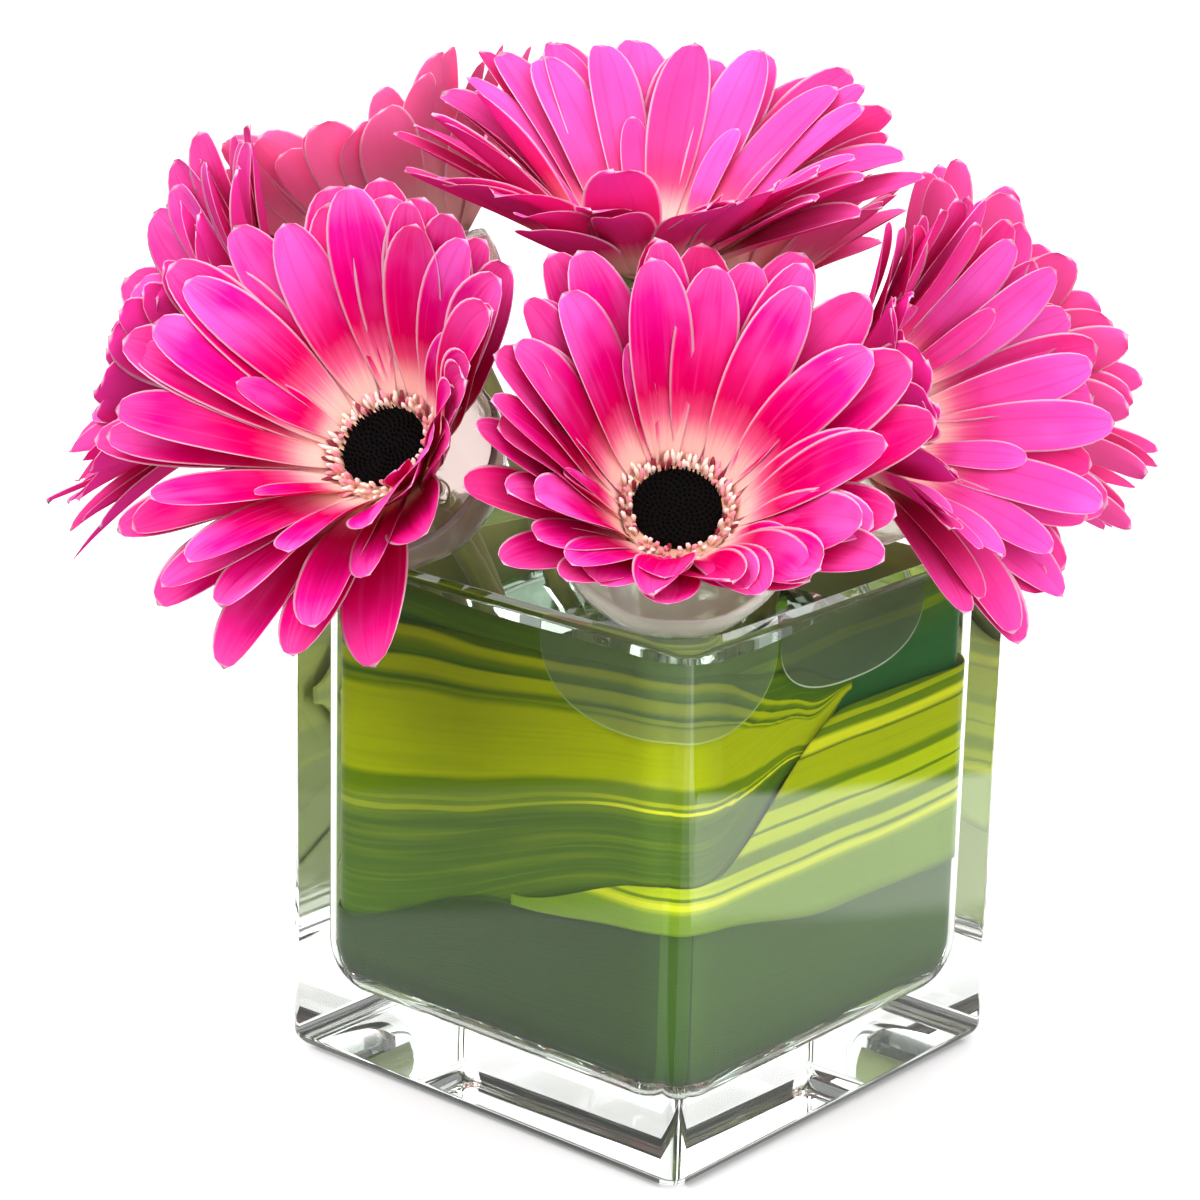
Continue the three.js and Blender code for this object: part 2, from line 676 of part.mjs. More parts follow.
function waterSolid(frames) {
  const inset = GAP + (LEAF_SHELLS - 1) * LEAF_PITCH + LEAF_THICKNESS + GAP;
  const body = toSolid(loft([
    innerRing(inset + 8, FLOOR_THICKNESS + GAP),
    innerRing(inset + 3.5, FLOOR_THICKNESS + 3.6),
    innerRing(inset, CURVE_TOP),
    innerRing(inset, WATER_LEVEL),
  ]));
  const holes = BLOOMS.map((bloom, i) => {
    const rings = stemRings(bloom, frames[i], STEM_RADIUS + GAP);
    const foot = rings[rings.length - 1].map((p) => p.clone().setZ(FLOOR_THICKNESS - 1));
    return toSolid(loft([...rings, foot].reverse()));
  });
  return mainBody(body.subtract(wasm.Manifold.union(holes)));
}

const gerberas = new THREE.Group();

function addNode(name, geometry, colour) {
  const mesh = new THREE.Mesh(geometry, new THREE.MeshStandardMaterial(COLOURS[colour]));
  mesh.name = name;
  gerberas.add(mesh);
}

const frames = BLOOMS.map(frameOf);

addNode('vase', vaseGeometry(), 'glass');
LEAVES.forEach((leaf) => addNode(leaf.name, leafGeometry(leaf), leaf.colour));
addNode('water', toGeometry(waterSolid(frames)), 'water');
BLOOMS.forEach((bloom, i) => {
  const frame = frames[i];
  const planes = cellPlanes(i, frames);
  addNode(`bloom_${bloom.name}_rays`, toGeometry(raysSolid(frame, i, planes)), 'petal');
  addNode(`bloom_${bloom.name}_eye`, eyeGeometry(frame), 'eye');
  addNode(`bloom_${bloom.name}_stem`, stemGeometry(bloom, frame), 'stem');
  addNode(`bloom_${bloom.name}_cup`, cupGeometry(bloom.cup, frame), 'cup');
});

export default gerberas;
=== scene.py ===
"""Eight pink gerberas in a square glass vase lined with striped leaves, dressed over the CAD frame.

Lengths in this file are millimetres in the frame's own axes, and MM turns them into Blender's metres. The
blooms' places and the way that a petal bends clear of its neighbours are those of the CAD source.
"""

import math

import bpy
import numpy as np
from mathutils import Matrix, Vector


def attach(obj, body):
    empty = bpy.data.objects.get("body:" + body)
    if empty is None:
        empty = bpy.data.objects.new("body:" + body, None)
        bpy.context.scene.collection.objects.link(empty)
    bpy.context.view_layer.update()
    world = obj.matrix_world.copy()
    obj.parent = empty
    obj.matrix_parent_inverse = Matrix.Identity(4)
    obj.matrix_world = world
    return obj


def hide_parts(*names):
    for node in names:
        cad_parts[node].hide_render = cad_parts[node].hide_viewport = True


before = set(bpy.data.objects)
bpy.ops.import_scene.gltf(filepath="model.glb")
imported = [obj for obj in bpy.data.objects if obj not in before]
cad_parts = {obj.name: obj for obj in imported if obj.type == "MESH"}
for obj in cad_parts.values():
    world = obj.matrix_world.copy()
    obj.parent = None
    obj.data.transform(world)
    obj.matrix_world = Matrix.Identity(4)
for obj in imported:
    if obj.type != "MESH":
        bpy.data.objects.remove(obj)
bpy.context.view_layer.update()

MM = 0.001
TAU = math.tau

# Vase and leaves, as in the CAD source, but with slightly thinner leaves
VASE_SIDE = 120.0
VASE_HEIGHT = 125.0
WALL = 6.0
FLOOR_THICKNESS = 15.5
OUTER_CORNER = 4.0
INNER_CORNER = 12.5
LEAST_CORNER = 3.0
CORNER_SHARE = 0.07
CAVITY_HALF = VASE_SIDE / 2 - WALL
CURVE_TOP = FLOOR_THICKNESS + INNER_CORNER
GAP = 0.3
LEAF_PITCH = 1.05
LEAF_THICKNESS = 0.6

GLASS_IOR = 1.46
WATER_IOR = 1.333

# Bloom, as in the CAD source, but with thinner petals, a thinner cup and a smaller gap to the other blooms
EYE_RADIUS = 9.8
CORE_RADIUS = 13.2
CORE_BOTTOM = -1.2
CORE_TOP = 1.6
PETAL_ROOT_RADIUS = 12.0
PETAL_THICKNESS = 0.55
STEM_RADIUS = 2.8
CALYX_DEPTH = 13.0
BLOOM_GAP = 1.0
CUP_DEPTH = 21.0
CUP_WALL = 0.5

# The blooms: middle of the face, azimuth and elevation of the axis, degrees that the petals are raised, and
# further degrees for each ring on the bloom's lower side, share of the room between neighbours, how far the
# point that divides that room is raised, foot of the stem, radius of the cup, size of the petals, and how
# far the colour leans to salmon and to a paler pink, from 0 to 1.
BLOOMS = [
    dict(name="front", at=(39, -40, 148), facing=(-47, 46), raised=20, low=(18, 14, 6, 0), room=59, over=8,
         foot=(14, -14), cup=26, size=1.08),
    dict(name="front_left", at=(-22, -66, 155), facing=(-81, 43), raised=14, low=(-10, -6, -2, 0), room=61,
         over=-6, foot=(-8, -21), cup=25, size=1.1),
    dict(name="left", at=(-81, -46, 159), facing=(-128, 25), raised=17, room=48, foot=(-23, -9), cup=24,
         salmon=0.05, pale=0.4),
    dict(name="back_left", at=(-81, 7, 179), facing=(-168, 56), raised=14, room=49, foot=(-22, 9), cup=17,
         salmon=0.85, pale=0.8),
    dict(name="back", at=(-32, 57, 168), facing=(125, 76), raised=16, room=54, foot=(-7, 21), cup=22,
         salmon=0.35, pale=0.4),
    dict(name="back_right", at=(22, 76, 150), facing=(76, 24), raised=8, room=48, foot=(9, 21), cup=24,
         salmon=0.4, pale=0.4),
    dict(name="right", at=(50, 15, 160), facing=(1, 23), raised=21, room=53, foot=(23, 6), cup=27, pale=0.7),
    dict(name="top", at=(-5, 2, 191), facing=(-50, 84), raised=26, low=(-28, -29, -30, -34), room=58,
         foot=(0, 2), cup=18, size=1.14, salmon=0.05, pale=0.85),
]

# The rings of petals, from the lowest to the highest: number, length, width, lift at root and tip in
# degrees, and height of the root on the core.
PETAL_RINGS = [
    dict(count=18, length=49.0, width=14.2, lift=(22, 5), root=-0.6),
    dict(count=17, length=47.5, width=13.6, lift=(29, 11), root=0.1),
    dict(count=14, length=44.5, width=12.8, lift=(36, 18), root=0.8),
    dict(count=5, length=27.0, width=7.0, lift=(40, 26), root=1.3),
]


def chance(seed):
    """A repeatable number from 0 to 1 for each seed."""
    x = math.sin(seed * 127.1 + 311.7) * 43758.5453
    return x - math.floor(x)


def spread(seed, amount):
    """A repeatable number from minus amount to amount for each seed."""
    return (chance(seed) * 2 - 1) * amount


def smooth(x, low, high):
    """Eased step from 0 at low to 1 at high, for numbers and arrays."""
    t = np.clip((x - low) / (high - low), 0.0, 1.0)
    return t * t * (3 - 2 * t)


def unit(v):
    return v / np.linalg.norm(v)


def srgb(red, green, blue):
    """Linear colour of a colour written as it shows on a screen, 0 to 255."""
    def linear(c):
        c /= 255
        return c / 12.92 if c <= 0.04045 else ((c + 0.055) / 1.055) ** 2.4
    return (linear(red), linear(green), linear(blue), 1.0)


# Mesh helpers

def add_object(name, data):
    thing = bpy.data.objects.new(name, data)
    bpy.context.scene.collection.objects.link(thing)
    return thing


def mesh_object(name, points, faces, uvs=None, materials=(), looks=None):
    """Smooth object from points in millimetres.

    uvs are UV maps, as name to one pair per point, and looks each face's place in the materials.
    """
    mesh = bpy.data.meshes.new(name)
    mesh.from_pydata((np.asarray(points, dtype=float) * MM).tolist(), [], faces)
    corners = np.empty(len(mesh.loops), dtype=np.int32)
    mesh.loops.foreach_get("vertex_index", corners)
    for key, pairs in (uvs or {}).items():
        layer = mesh.uv_layers.new(name=key)
        layer.data.foreach_set("uv", np.asarray(pairs, dtype=np.float32)[corners].ravel())
    for material in materials:
        mesh.materials.append(material)
    if looks is not None:
        mesh.polygons.foreach_set("material_index", np.asarray(looks, dtype=np.int32))
    mesh.polygons.foreach_set("use_smooth", [True] * len(mesh.polygons))
    mesh.update()
    return add_object(name, mesh)


def loft_faces(rings, count, closed=False):
    """Quads between rings of points, and a face on each end unless the rings close on themselves."""
    faces = []
    for r in range(rings if closed else rings - 1):
        low, high = r * count, ((r + 1) % rings) * count
        for i in range(count):
            j = (i + 1) % count
            faces.append((low + i, low + j, high + j, high + i))
    if not closed:
        faces.append(tuple(reversed(range(count))))
        faces.append(tuple(range((rings - 1) * count, rings * count)))
    return faces


class Collector:
    """Points, faces and UV pairs of many small pieces that become one object."""

    def __init__(self, *maps):
        self.points = []
        self.faces = []
        self.looks = []
        self.maps = {key: [] for key in maps}
        self.total = 0

    def add(self, points, faces, look=0, **maps):
        self.points.append(np.asarray(points, dtype=float))
        self.faces.extend(tuple(i + self.total for i in face) for face in faces)
        self.looks.extend([look] * len(faces))
        for key, pairs in maps.items():
            self.maps[key].append(np.asarray(pairs, dtype=float))
        self.total += len(points)

    def add_rings(self, bloom, profile, look=0):
        """A round piece on the bloom's axis, from rings as (radius, height)."""
        points = [p for radius, height in profile for p in bloom.ring(radius, height, CORE_SIDES)]
        self.add(points, loft_faces(len(profile), CORE_SIDES), look, blade=np.zeros((len(points), 2)))

    def build(self, name, materials):
        uvs = {key: np.concatenate(pairs) for key, pairs in self.maps.items()}
        return mesh_object(name, np.concatenate(self.points), self.faces, uvs, materials, self.looks)


# Node helpers

class Wire:
    """A node's output. Sums and products of wires and numbers make the math nodes for them."""

    def __init__(self, nodes, socket):
        self.nodes = nodes
        self.socket = socket

    def __add__(self, other):
        return self.nodes.math("ADD", self, other)

    def __sub__(self, other):
        return self.nodes.math("SUBTRACT", self, other)

    def __mul__(self, other):
        return self.nodes.math("MULTIPLY", self, other)

    def __truediv__(self, other):
        return self.nodes.math("DIVIDE", self, other)

    def __abs__(self):
        return self.nodes.math("ABSOLUTE", self)


class Nodes:
    """Short hand for building a material's nodes."""

    def __init__(self, name):
        self.material = bpy.data.materials.new(name)
        self.material.use_nodes = True
        self.tree = self.material.node_tree
        self.tree.nodes.clear()
        self.out = self.tree.nodes.new("ShaderNodeOutputMaterial")

    def node(self, kind, output, inputs, **settings):
        """The output of a new node, with wires or plain values in the inputs, by number or name."""
        node = self.tree.nodes.new(kind)
        for key, value in settings.items():
            setattr(node, key, value)
        for key, value in inputs.items():
            if isinstance(value, Wire):
                self.tree.links.new(value.socket, node.inputs[key])
            else:
                node.inputs[key].default_value = value
        return Wire(self, node.outputs[output])

    def math(self, operation, a, b=0.0, clamp=False):
        return self.node("ShaderNodeMath", 0, {0: a, 1: b}, operation=operation, use_clamp=clamp)

    def mix(self, share, a, b):
        return self.node("ShaderNodeMix", 2, {0: share, 6: a, 7: b}, data_type="RGBA")

    def step(self, value, low, high):
        """Eased step from 0 at low to 1 at high."""
        inputs = {0: value, 1: low, 2: high}
        return self.node("ShaderNodeMapRange", 0, inputs, interpolation_type="SMOOTHSTEP")

    def ramp(self, value, stops):
        """The colour at a value between stops, which are pairs of place and colour."""
        wire = self.node("ShaderNodeValToRGB", 0, {0: value})
        elements = wire.socket.node.color_ramp.elements
        for place, _ in stops[2:]:
            elements.new(place)
        for element, (place, colour) in zip(elements, stops):
            element.position = place
            element.color = colour
        return wire

    def parts(self, vector):
        """The x, y and z of a vector."""
        node = self.node("ShaderNodeSeparateXYZ", 0, {0: vector}).socket.node
        return [Wire(self, output) for output in node.outputs]

    def uv(self, name):
        """The two numbers of a UV map."""
        return self.parts(self.node("ShaderNodeUVMap", 0, {}, uv_map=name))[:2]

    def vector(self, x, y, z=0.0):
        return self.node("ShaderNodeCombineXYZ", 0, {0: x, 1: y, 2: z})

    def noise(self, vector, scale, detail):
        return self.node("ShaderNodeTexNoise", "Fac", {"Vector": vector, "Scale": scale, "Detail": detail})

    def place(self):
        """Place on the object, in metres."""
        return self.node("ShaderNodeTexCoord", "Object", {})

    def bump(self, height, strength, distance):
        inputs = {"Height": height, "Strength": strength, "Distance": distance}
        return self.node("ShaderNodeBump", 0, inputs)

    def shader(self, colour, roughness, **sockets):
        inputs = {"Base Color": colour, "Roughness": roughness}
        inputs.update((key.replace("_", " "), value) for key, value in sockets.items())
        return self.node("ShaderNodeBsdfPrincipled", 0, inputs)

    def blend(self, share, first, second):
        """Two shaders mixed, with a share of the second."""
        return self.node("ShaderNodeMixShader", 0, {0: share, 1: first, 2: second})

    def lets_light_through(self, shader, colour):
        """The shader, but clear for rays from lamps, so that what is behind it is lit."""
        to_lamp = self.node("ShaderNodeLightPath", "Is Shadow Ray", {})
        return self.blend(to_lamp, shader, self.node("ShaderNodeBsdfTransparent", 0, {0: colour}))

    def finish(self, shader):
        self.tree.links.new(shader.socket, self.out.inputs[0])
        return self.material


# Materials

def petal_material():
    """Pink petals: cream at the root, crimson, hot pink, then violet pink, with a thin pale margin, and
    painted shade on the lower rings and along the folds.
    """
    n = Nodes("petal")
    across, along = n.uv("blade")
    chance_value, side = n.uv("tone")
    salmon, painted_ring_shade = n.uv("place")
    pale, _ = n.uv("tint")
    off_middle = abs(across * 2 - 1)
    streaks = n.noise(n.vector(across * 16, along * 1.2, chance_value * 37), 1, 4)
    patches = n.noise(n.vector(across * 1.5, along * 2, chance_value * 91), 1, 2)
    reach = along + (streaks - 0.5) * 0.16
    top = n.ramp(reach, [
        (0, srgb(255, 226, 206)),
        (0.15, srgb(252, 204, 194)),
        (0.27, srgb(240, 108, 154)),
        (0.39, srgb(220, 2, 98)),
        (0.6, srgb(226, 0, 130)),
        (0.82, srgb(236, 30, 170)),
        (0.97, srgb(246, 104, 204)),
    ])
    paler = n.mix(pale * n.step(along, 0.2, 0.5), top, srgb(246, 100, 206))
    cool_share = n.step(along, 0.3, 0.9) * (n.step(patches, 0.42, 0.7) * 0.8)
    cooler = n.mix(cool_share, paler, srgb(246, 112, 222))
    deep_tone = n.mix(n.step(along, 0.1, 0.3), srgb(255, 206, 196), srgb(236, 2, 104))
    deeper = n.mix(n.step(chance_value, 0.6, 1) * 0.5, cooler, deep_tone)
    past_root = n.step(along, 0.15, 0.35)
    # Painted shade: past the root, the lower rings of petals are darkened towards crimson.
    shaded = n.mix(painted_ring_shade * past_root * 0.5, deeper, srgb(206, 0, 80))
    folds = n.math("SUBTRACT", 1, abs(off_middle - 0.34) * 12, clamp=True)
    # Painted shade: the two lengthwise folds are darkened towards crimson.
    fold_shaded = n.mix(folds * past_root * 0.22, shaded, srgb(214, 0, 96))
    lined = n.mix(n.step(streaks, 0.52, 0.72) * 0.1, fold_shaded, srgb(255, 130, 205))
    under = n.ramp(reach, [
        (0, srgb(255, 232, 206)),
        (0.22, srgb(255, 196, 184)),
        (0.5, srgb(238, 40, 132)),
        (1, srgb(242, 56, 176)),
    ])
    both = n.mix(n.step(side, 0.35, 0.65), under, lined)
    light_salmon = n.mix(n.step(along, 0.2, 0.8), srgb(255, 214, 212), srgb(255, 146, 192))
    warm = n.mix(salmon * 0.75, both, light_salmon)
    margin = n.math("MAXIMUM", n.step(off_middle, 0.9, 0.985), n.step(along, 0.978, 0.997))
    edged = n.mix(margin * 0.9, warm, srgb(255, 214, 232))
    relief = n.bump(streaks * 0.5 + folds * -0.5, 0.22, 0.0004)
    body = n.shader(edged, streaks * 0.2 + 0.42, Normal=relief, Specular_IOR_Level=0)
    glow = n.node("ShaderNodeBsdfTranslucent", 0, {0: edged})
    return n.finish(n.blend(0.32, body, glow))


def eye_material():
    """Near black disc florets with a brown bloom on their tips."""
    n = Nodes("eye")
    grain = n.noise(n.place(), 900, 4)
    colour = n.mix(n.step(grain, 0.55, 0.85), srgb(3, 1, 1), srgb(22, 5, 8))
    return n.finish(n.shader(colour, 0.85, Normal=n.bump(grain, 0.5, 0.0003), Specular_IOR_Level=0.1))


def floret_material(name, low, high):
    """Short inner florets, pale at the foot and tinted at the tip."""
    n = Nodes(name)
    _, along = n.uv("blade")
    grain = n.noise(n.place(), 700, 3)
    colour = n.mix(along * 0.85 + grain * 0.15, low, high)
    return n.finish(n.shader(colour, 0.55, Normal=n.bump(grain, 0.3, 0.0002), Subsurface_Weight=0.1))


def throat_material():
    """The pale core between the florets."""
    n = Nodes("throat")
    grain = n.noise(n.place(), 700, 3)
    return n.finish(n.shader(srgb(250, 206, 176), 0.55, Normal=n.bump(grain, 0.3, 0.0002),
                             Subsurface_Weight=0.1))


def stem_material():
    """Pale green, faintly ribbed stem and calyx with a fine down."""
    n = Nodes("stem")
    around, along = n.uv("blade")
    ribs = n.noise(n.vector(around * 24, along * 3), 1, 3)
    patches = n.noise(n.place(), 90, 3)
    colour = n.mix(ribs, srgb(104, 132, 58), srgb(164, 182, 104))
    varied = n.mix(patches * 0.5, colour, srgb(120, 92, 70))
    return n.finish(n.shader(varied, 0.6, Normal=n.bump(ribs, 0.4, 0.0004), Sheen_Weight=0.3))


def glass_material(name, ior, ground=0):
    """Clear pressed glass with a faint green tint and a slightly uneven surface. ground makes it matte."""
    n = Nodes(name)
    waves = n.noise(n.place(), 22, 1)
    roughness = n.noise(n.place(), 60, 2) * 0.01 + ground
    glass = n.shader(srgb(250, 255, 252), roughness, Normal=n.bump(waves, 0.06, 0.0008), IOR=ior,
                     Transmission_Weight=1)
    return n.finish(n.lets_light_through(glass, (0.94, 0.96, 0.95, 1)))


def painted_shade_foot_material():
    """The rounded foot of the glass, with painted shade in dark lengthwise streaks."""
    n = Nodes("glass_foot_painted_shade")
    x, y, z = n.parts(n.place())
    streaks = n.noise(n.vector(x * 9, y * 9, z * 900), 1, 3)
    # Painted shade: near black streaks in the foot's colour.
    colour = n.mix(n.step(streaks, 0.5, 0.7), srgb(16, 22, 16), srgb(132, 140, 128))
    return n.finish(n.shader(colour, 0.08, IOR=GLASS_IOR, Transmission_Weight=0.15))


def cup_material(name, colour, clearness):
    """Thin clear plastic, more or less milky, with fine scratches."""
    n = Nodes(name)
    crinkle = n.noise(n.place(), 160, 3)
    plastic = n.shader(colour, crinkle * 0.12 + 0.04, Normal=n.bump(crinkle, 0.25, 0.0006), IOR=1.3,
                       Transmission_Weight=clearness)
    return n.finish(n.lets_light_through(plastic, (0.9, 0.9, 0.88, 1)))


def water_material():
    """Clear water, faintly green from the leaves."""
    n = Nodes("clear_water")
    ripples = n.noise(n.place(), 40, 1)
    water = n.shader(srgb(226, 242, 228), 0.02, Normal=n.bump(ripples, 0.05, 0.0005), IOR=WATER_IOR,
                     Transmission_Weight=1, Specular_Tint=(0.1, 0.1, 0.1, 1))
    return n.finish(n.lets_light_through(water, (0.9, 0.95, 0.9, 1)))


def leaf_material(name, stops, vein, lines=(), skew=0, dark=0):
    """A long leaf's colours across its width, from its lower to its upper edge, with fine lengthwise veins.

    lines are (place across the leaf, width, colour) of thin stripes, fainter on the vase's left wall. skew
    is how far the bands have moved down the leaf by the middle of the right wall, and dark how much painted
    shade darkens the leaf on the left one.
    """
    n = Nodes(name)
    along, across = n.uv("blade")
    wander = (n.noise(n.vector(along * 2.2, 0), 1, 1) - 0.5) * 0.05
    moved = across + wander + n.step(along, 0, 0.5) * skew
    frayed = n.noise(n.vector(along * 1.6, across * 22), 1, 2)
    shifted = moved + (frayed - 0.5) * 0.03
    colour = n.ramp(shifted, stops)
    strength = n.step(along, -0.35, 0) * 0.7 + 0.3
    for place, width, line in lines:
        near = n.math("SUBTRACT", 1, abs(shifted - place) / width, clamp=True)
        colour = n.mix(n.step(near, 0.1, 0.55) * strength, colour, line)
    veins = n.noise(n.vector(along * 1.4, across * 70), 1, 2)
    veined = n.mix(n.step(veins, 0.45, 0.8) * 0.3, colour, vein)
    streaks = n.noise(n.vector(along * 1.1, across * 17, 3), 1, 2)
    streaked = n.mix(n.step(streaks, 0.5, 0.75) * 0.35, veined, vein)
    # Painted shade: the leaf is darker where it lies on the vase's left wall.
    left_wall_shaded = n.mix(n.math("LESS_THAN", along, 0) * dark, streaked, srgb(10, 30, 0))
    # Painted light: past the corners beside the near one the leaves are paler, standing in for the light
    # haze of the glass.
    paler = n.mix(n.step(abs(along), 1, 1.08) * 0.45, left_wall_shaded, srgb(206, 216, 150))
    return n.finish(n.shader(paler, veins * 0.15 + 0.34, Normal=n.bump(veins, 0.15, 0.0004),
                             Specular_IOR_Level=0.05))


# The leaves' colours: stops across each leaf from its lower to its upper edge, stripes, vein colour, how far
# the bands move down, and painted shade on the left wall
LOW_GREEN = srgb(56, 86, 22)
DARK_GREEN = srgb(66, 95, 12)
OLIVE = srgb(96, 120, 0)
LIME = srgb(160, 168, 0)
BRIGHT_LIME = srgb(172, 184, 4)
YELLOW = srgb(204, 204, 30)
LIGHT_GREEN = srgb(106, 134, 22)

LEAF_LOOKS = {
    "leaf_sloping": dict(
        stops=[(0, srgb(72, 104, 18)), (0.06, LIGHT_GREEN), (0.27, LIGHT_GREEN), (0.3, BRIGHT_LIME),
               (0.4, BRIGHT_LIME), (0.41, OLIVE), (0.46, OLIVE), (0.48, BRIGHT_LIME), (0.62, BRIGHT_LIME),
               (0.63, OLIVE), (0.66, OLIVE), (0.68, LIME), (0.8, LIME), (0.81, DARK_GREEN), (0.83, YELLOW),
               (0.86, YELLOW), (0.88, OLIVE), (1, DARK_GREEN)],
        lines=[(0.31, 0.018, YELLOW), (0.345, 0.014, OLIVE), (0.54, 0.01, OLIVE), (0.93, 0.02, LIME)],
        vein=srgb(120, 146, 10), dark=0.1),
    "leaf_low": dict(
        stops=[(0, srgb(44, 72, 20)), (0.5, LOW_GREEN), (0.85, LOW_GREEN), (0.97, LOW_GREEN),
               (1, srgb(86, 118, 44))],
        vein=srgb(46, 74, 24), dark=0.57),
    "leaf_banded": dict(
        stops=[(0, DARK_GREEN), (0.36, DARK_GREEN), (0.4, OLIVE), (0.5, OLIVE), (0.52, LIME),
               (0.77, LIME), (0.79, OLIVE), (0.82, DARK_GREEN), (0.85, LIME), (0.88, LIME),
               (0.89, DARK_GREEN), (0.93, OLIVE), (0.95, LIME), (0.97, LIME), (0.98, DARK_GREEN),
               (1, DARK_GREEN)],
        lines=[(0.405, 0.013, YELLOW), (0.44, 0.01, LIME), (0.8, 0.01, LIME)],
        vein=srgb(126, 142, 0), skew=0.38),
    "leaf_lining": dict(
        stops=[(0, DARK_GREEN), (0.6, srgb(40, 88, 40)), (0.85, srgb(44, 92, 44)),
               (1, srgb(84, 112, 20))],
        lines=[(0.94, 0.02, srgb(112, 136, 10))],
        vein=srgb(40, 76, 22)),
}


# Vase

FOOT_ROUND = 3.5
RIM_ROUND = 1.2
CORNER_STEPS = 8
FACE_WEIGHT = 90  # how much the large flat faces decide the shading next to them, out of 100
WET_FROM = 19  # first band of the vase's outline, counted from the foot, that has wet leaves against it
# Painted shade: the flat faces of these bands of the foot get dark streaks painted into their colour.
PAINTED_SHADE_BANDS = (1, 2, 3, 4, 5)  # bands of the rounded foot that look dark along each side
RIM_BANDS = (14, 15, 16, 17, 18)  # bands of the rounded inner edge of the rim, which is softly ground
CLEAR, WET, FOOT, RIM = range(4)  # places of the vase's materials


def inner_corner(inset):
    return max(INNER_CORNER - inset, LEAST_CORNER)


def square_ring(half, corner, z):
    """Points round a level square with rounded corners."""
    points = []
    for k in range(4):
        cx = (1 if k in (0, 3) else -1) * (half - corner)
        cy = (1 if k < 2 else -1) * (half - corner)
        for i in range(CORNER_STEPS + 1):
            angle = (k + i / CORNER_STEPS) * math.pi / 2
            points.append((cx + corner * math.cos(angle), cy + corner * math.sin(angle), z))
    return points


def vase_look(band, place, side):
    """The material of a face, from its band and its place there. Each side's last face is the flat one."""
    if band in PAINTED_SHADE_BANDS and place % side == side - 1:
        return FOOT
    if band in RIM_BANDS:
        return RIM
    return WET if band >= WET_FROM else CLEAR


def vase():
    """Outside up, over a rounded rim, and down the inside to the rounded edge of the floor."""
    def outer(inset, z):
        return square_ring(VASE_SIDE / 2 - inset, OUTER_CORNER, z)

    def inner(inset, z):
        return square_ring(CAVITY_HALF - inset, inner_corner(inset), z)

    quarter = math.pi / 2
    rim_foot = VASE_HEIGHT - RIM_ROUND
    rings = []
    for a in np.linspace(0, quarter, 8):
        rings.append(outer(FOOT_ROUND * (1 - math.sin(a)), FOOT_ROUND * (1 - math.cos(a))))
    for a in np.linspace(0, quarter, 6):
        rings.append(outer(RIM_ROUND * (1 - math.cos(a)), rim_foot + RIM_ROUND * math.sin(a)))
    for a in np.linspace(quarter, 0, 6):
        rings.append(inner(-RIM_ROUND * (1 - math.cos(a)), rim_foot + RIM_ROUND * math.sin(a)))
    for a in np.linspace(0, quarter, 9):
        rings.append(inner(INNER_CORNER * (1 - math.cos(a)), CURVE_TOP - INNER_CORNER * math.sin(a)))
    points = [p for ring in rings for p in ring]
    count = len(rings[0])
    faces = loft_faces(len(rings), count)
    looks = [vase_look(i // count, i % count, count // 4) for i in range(len(faces) - 2)] + [CLEAR, WET]
    materials = [
        glass_material("vase_glass", GLASS_IOR),
        glass_material("wet_glass", GLASS_IOR / WATER_IOR),
        painted_shade_foot_material(),
        glass_material("glass_rim", GLASS_IOR, 0.22),
    ]
    piece = mesh_object("vase_clear", points, faces, materials=materials, looks=looks)
    piece.modifiers.new("flat_faces", "WEIGHTED_NORMAL").weight = FACE_WEIGHT
    return piece


# Leaves

LEAF_STATIONS = 288
LEAF_COLUMNS = 16
LEAF_WAVE = 0.5
LEAF_WAVES = 9


def wall_point(turns, inset):
    """Point on the inner wall's outline, as in the CAD source. turns counts the sides of the vase."""
    half = CAVITY_HALF - inset
    corner = inner_corner(inset)
    k = math.floor(turns + 0.5)
    past = turns - k
    if abs(past) < CORNER_SHARE:
        angle = past / CORNER_SHARE * math.pi / 4 - math.pi / 4
        x, y = half - corner + corner * math.cos(angle), corner - half + corner * math.sin(angle)
    elif past > 0:
        share = (past - CORNER_SHARE) / (1 - 2 * CORNER_SHARE)
        x, y = half, (corner - half) * (1 - 2 * share)
    else:
        share = (-past - CORNER_SHARE) / (1 - 2 * CORNER_SHARE)
        x, y = (half - corner) * (1 - 2 * share), -half
    c, s = math.cos(k * math.pi / 2), math.sin(k * math.pi / 2)
    return x * c - y * s, x * s + y * c


def edge_height(points, turns):
    """Height of a leaf's edge at a place along it, eased between its points."""
    for (t0, z0), (t1, z1) in zip(points, points[1:]):
        if turns <= t1:
            return z0 + (z1 - z0) * float(smooth(turns, t0, t1))
    return points[-1][1]


def floor_push(z):
    """How far the rounded edge of the vase's floor keeps a leaf from the wall at a height."""
    down = min(max(CURVE_TOP - z, 0.0), INNER_CORNER)
    return INNER_CORNER - math.sqrt(INNER_CORNER ** 2 - down ** 2)


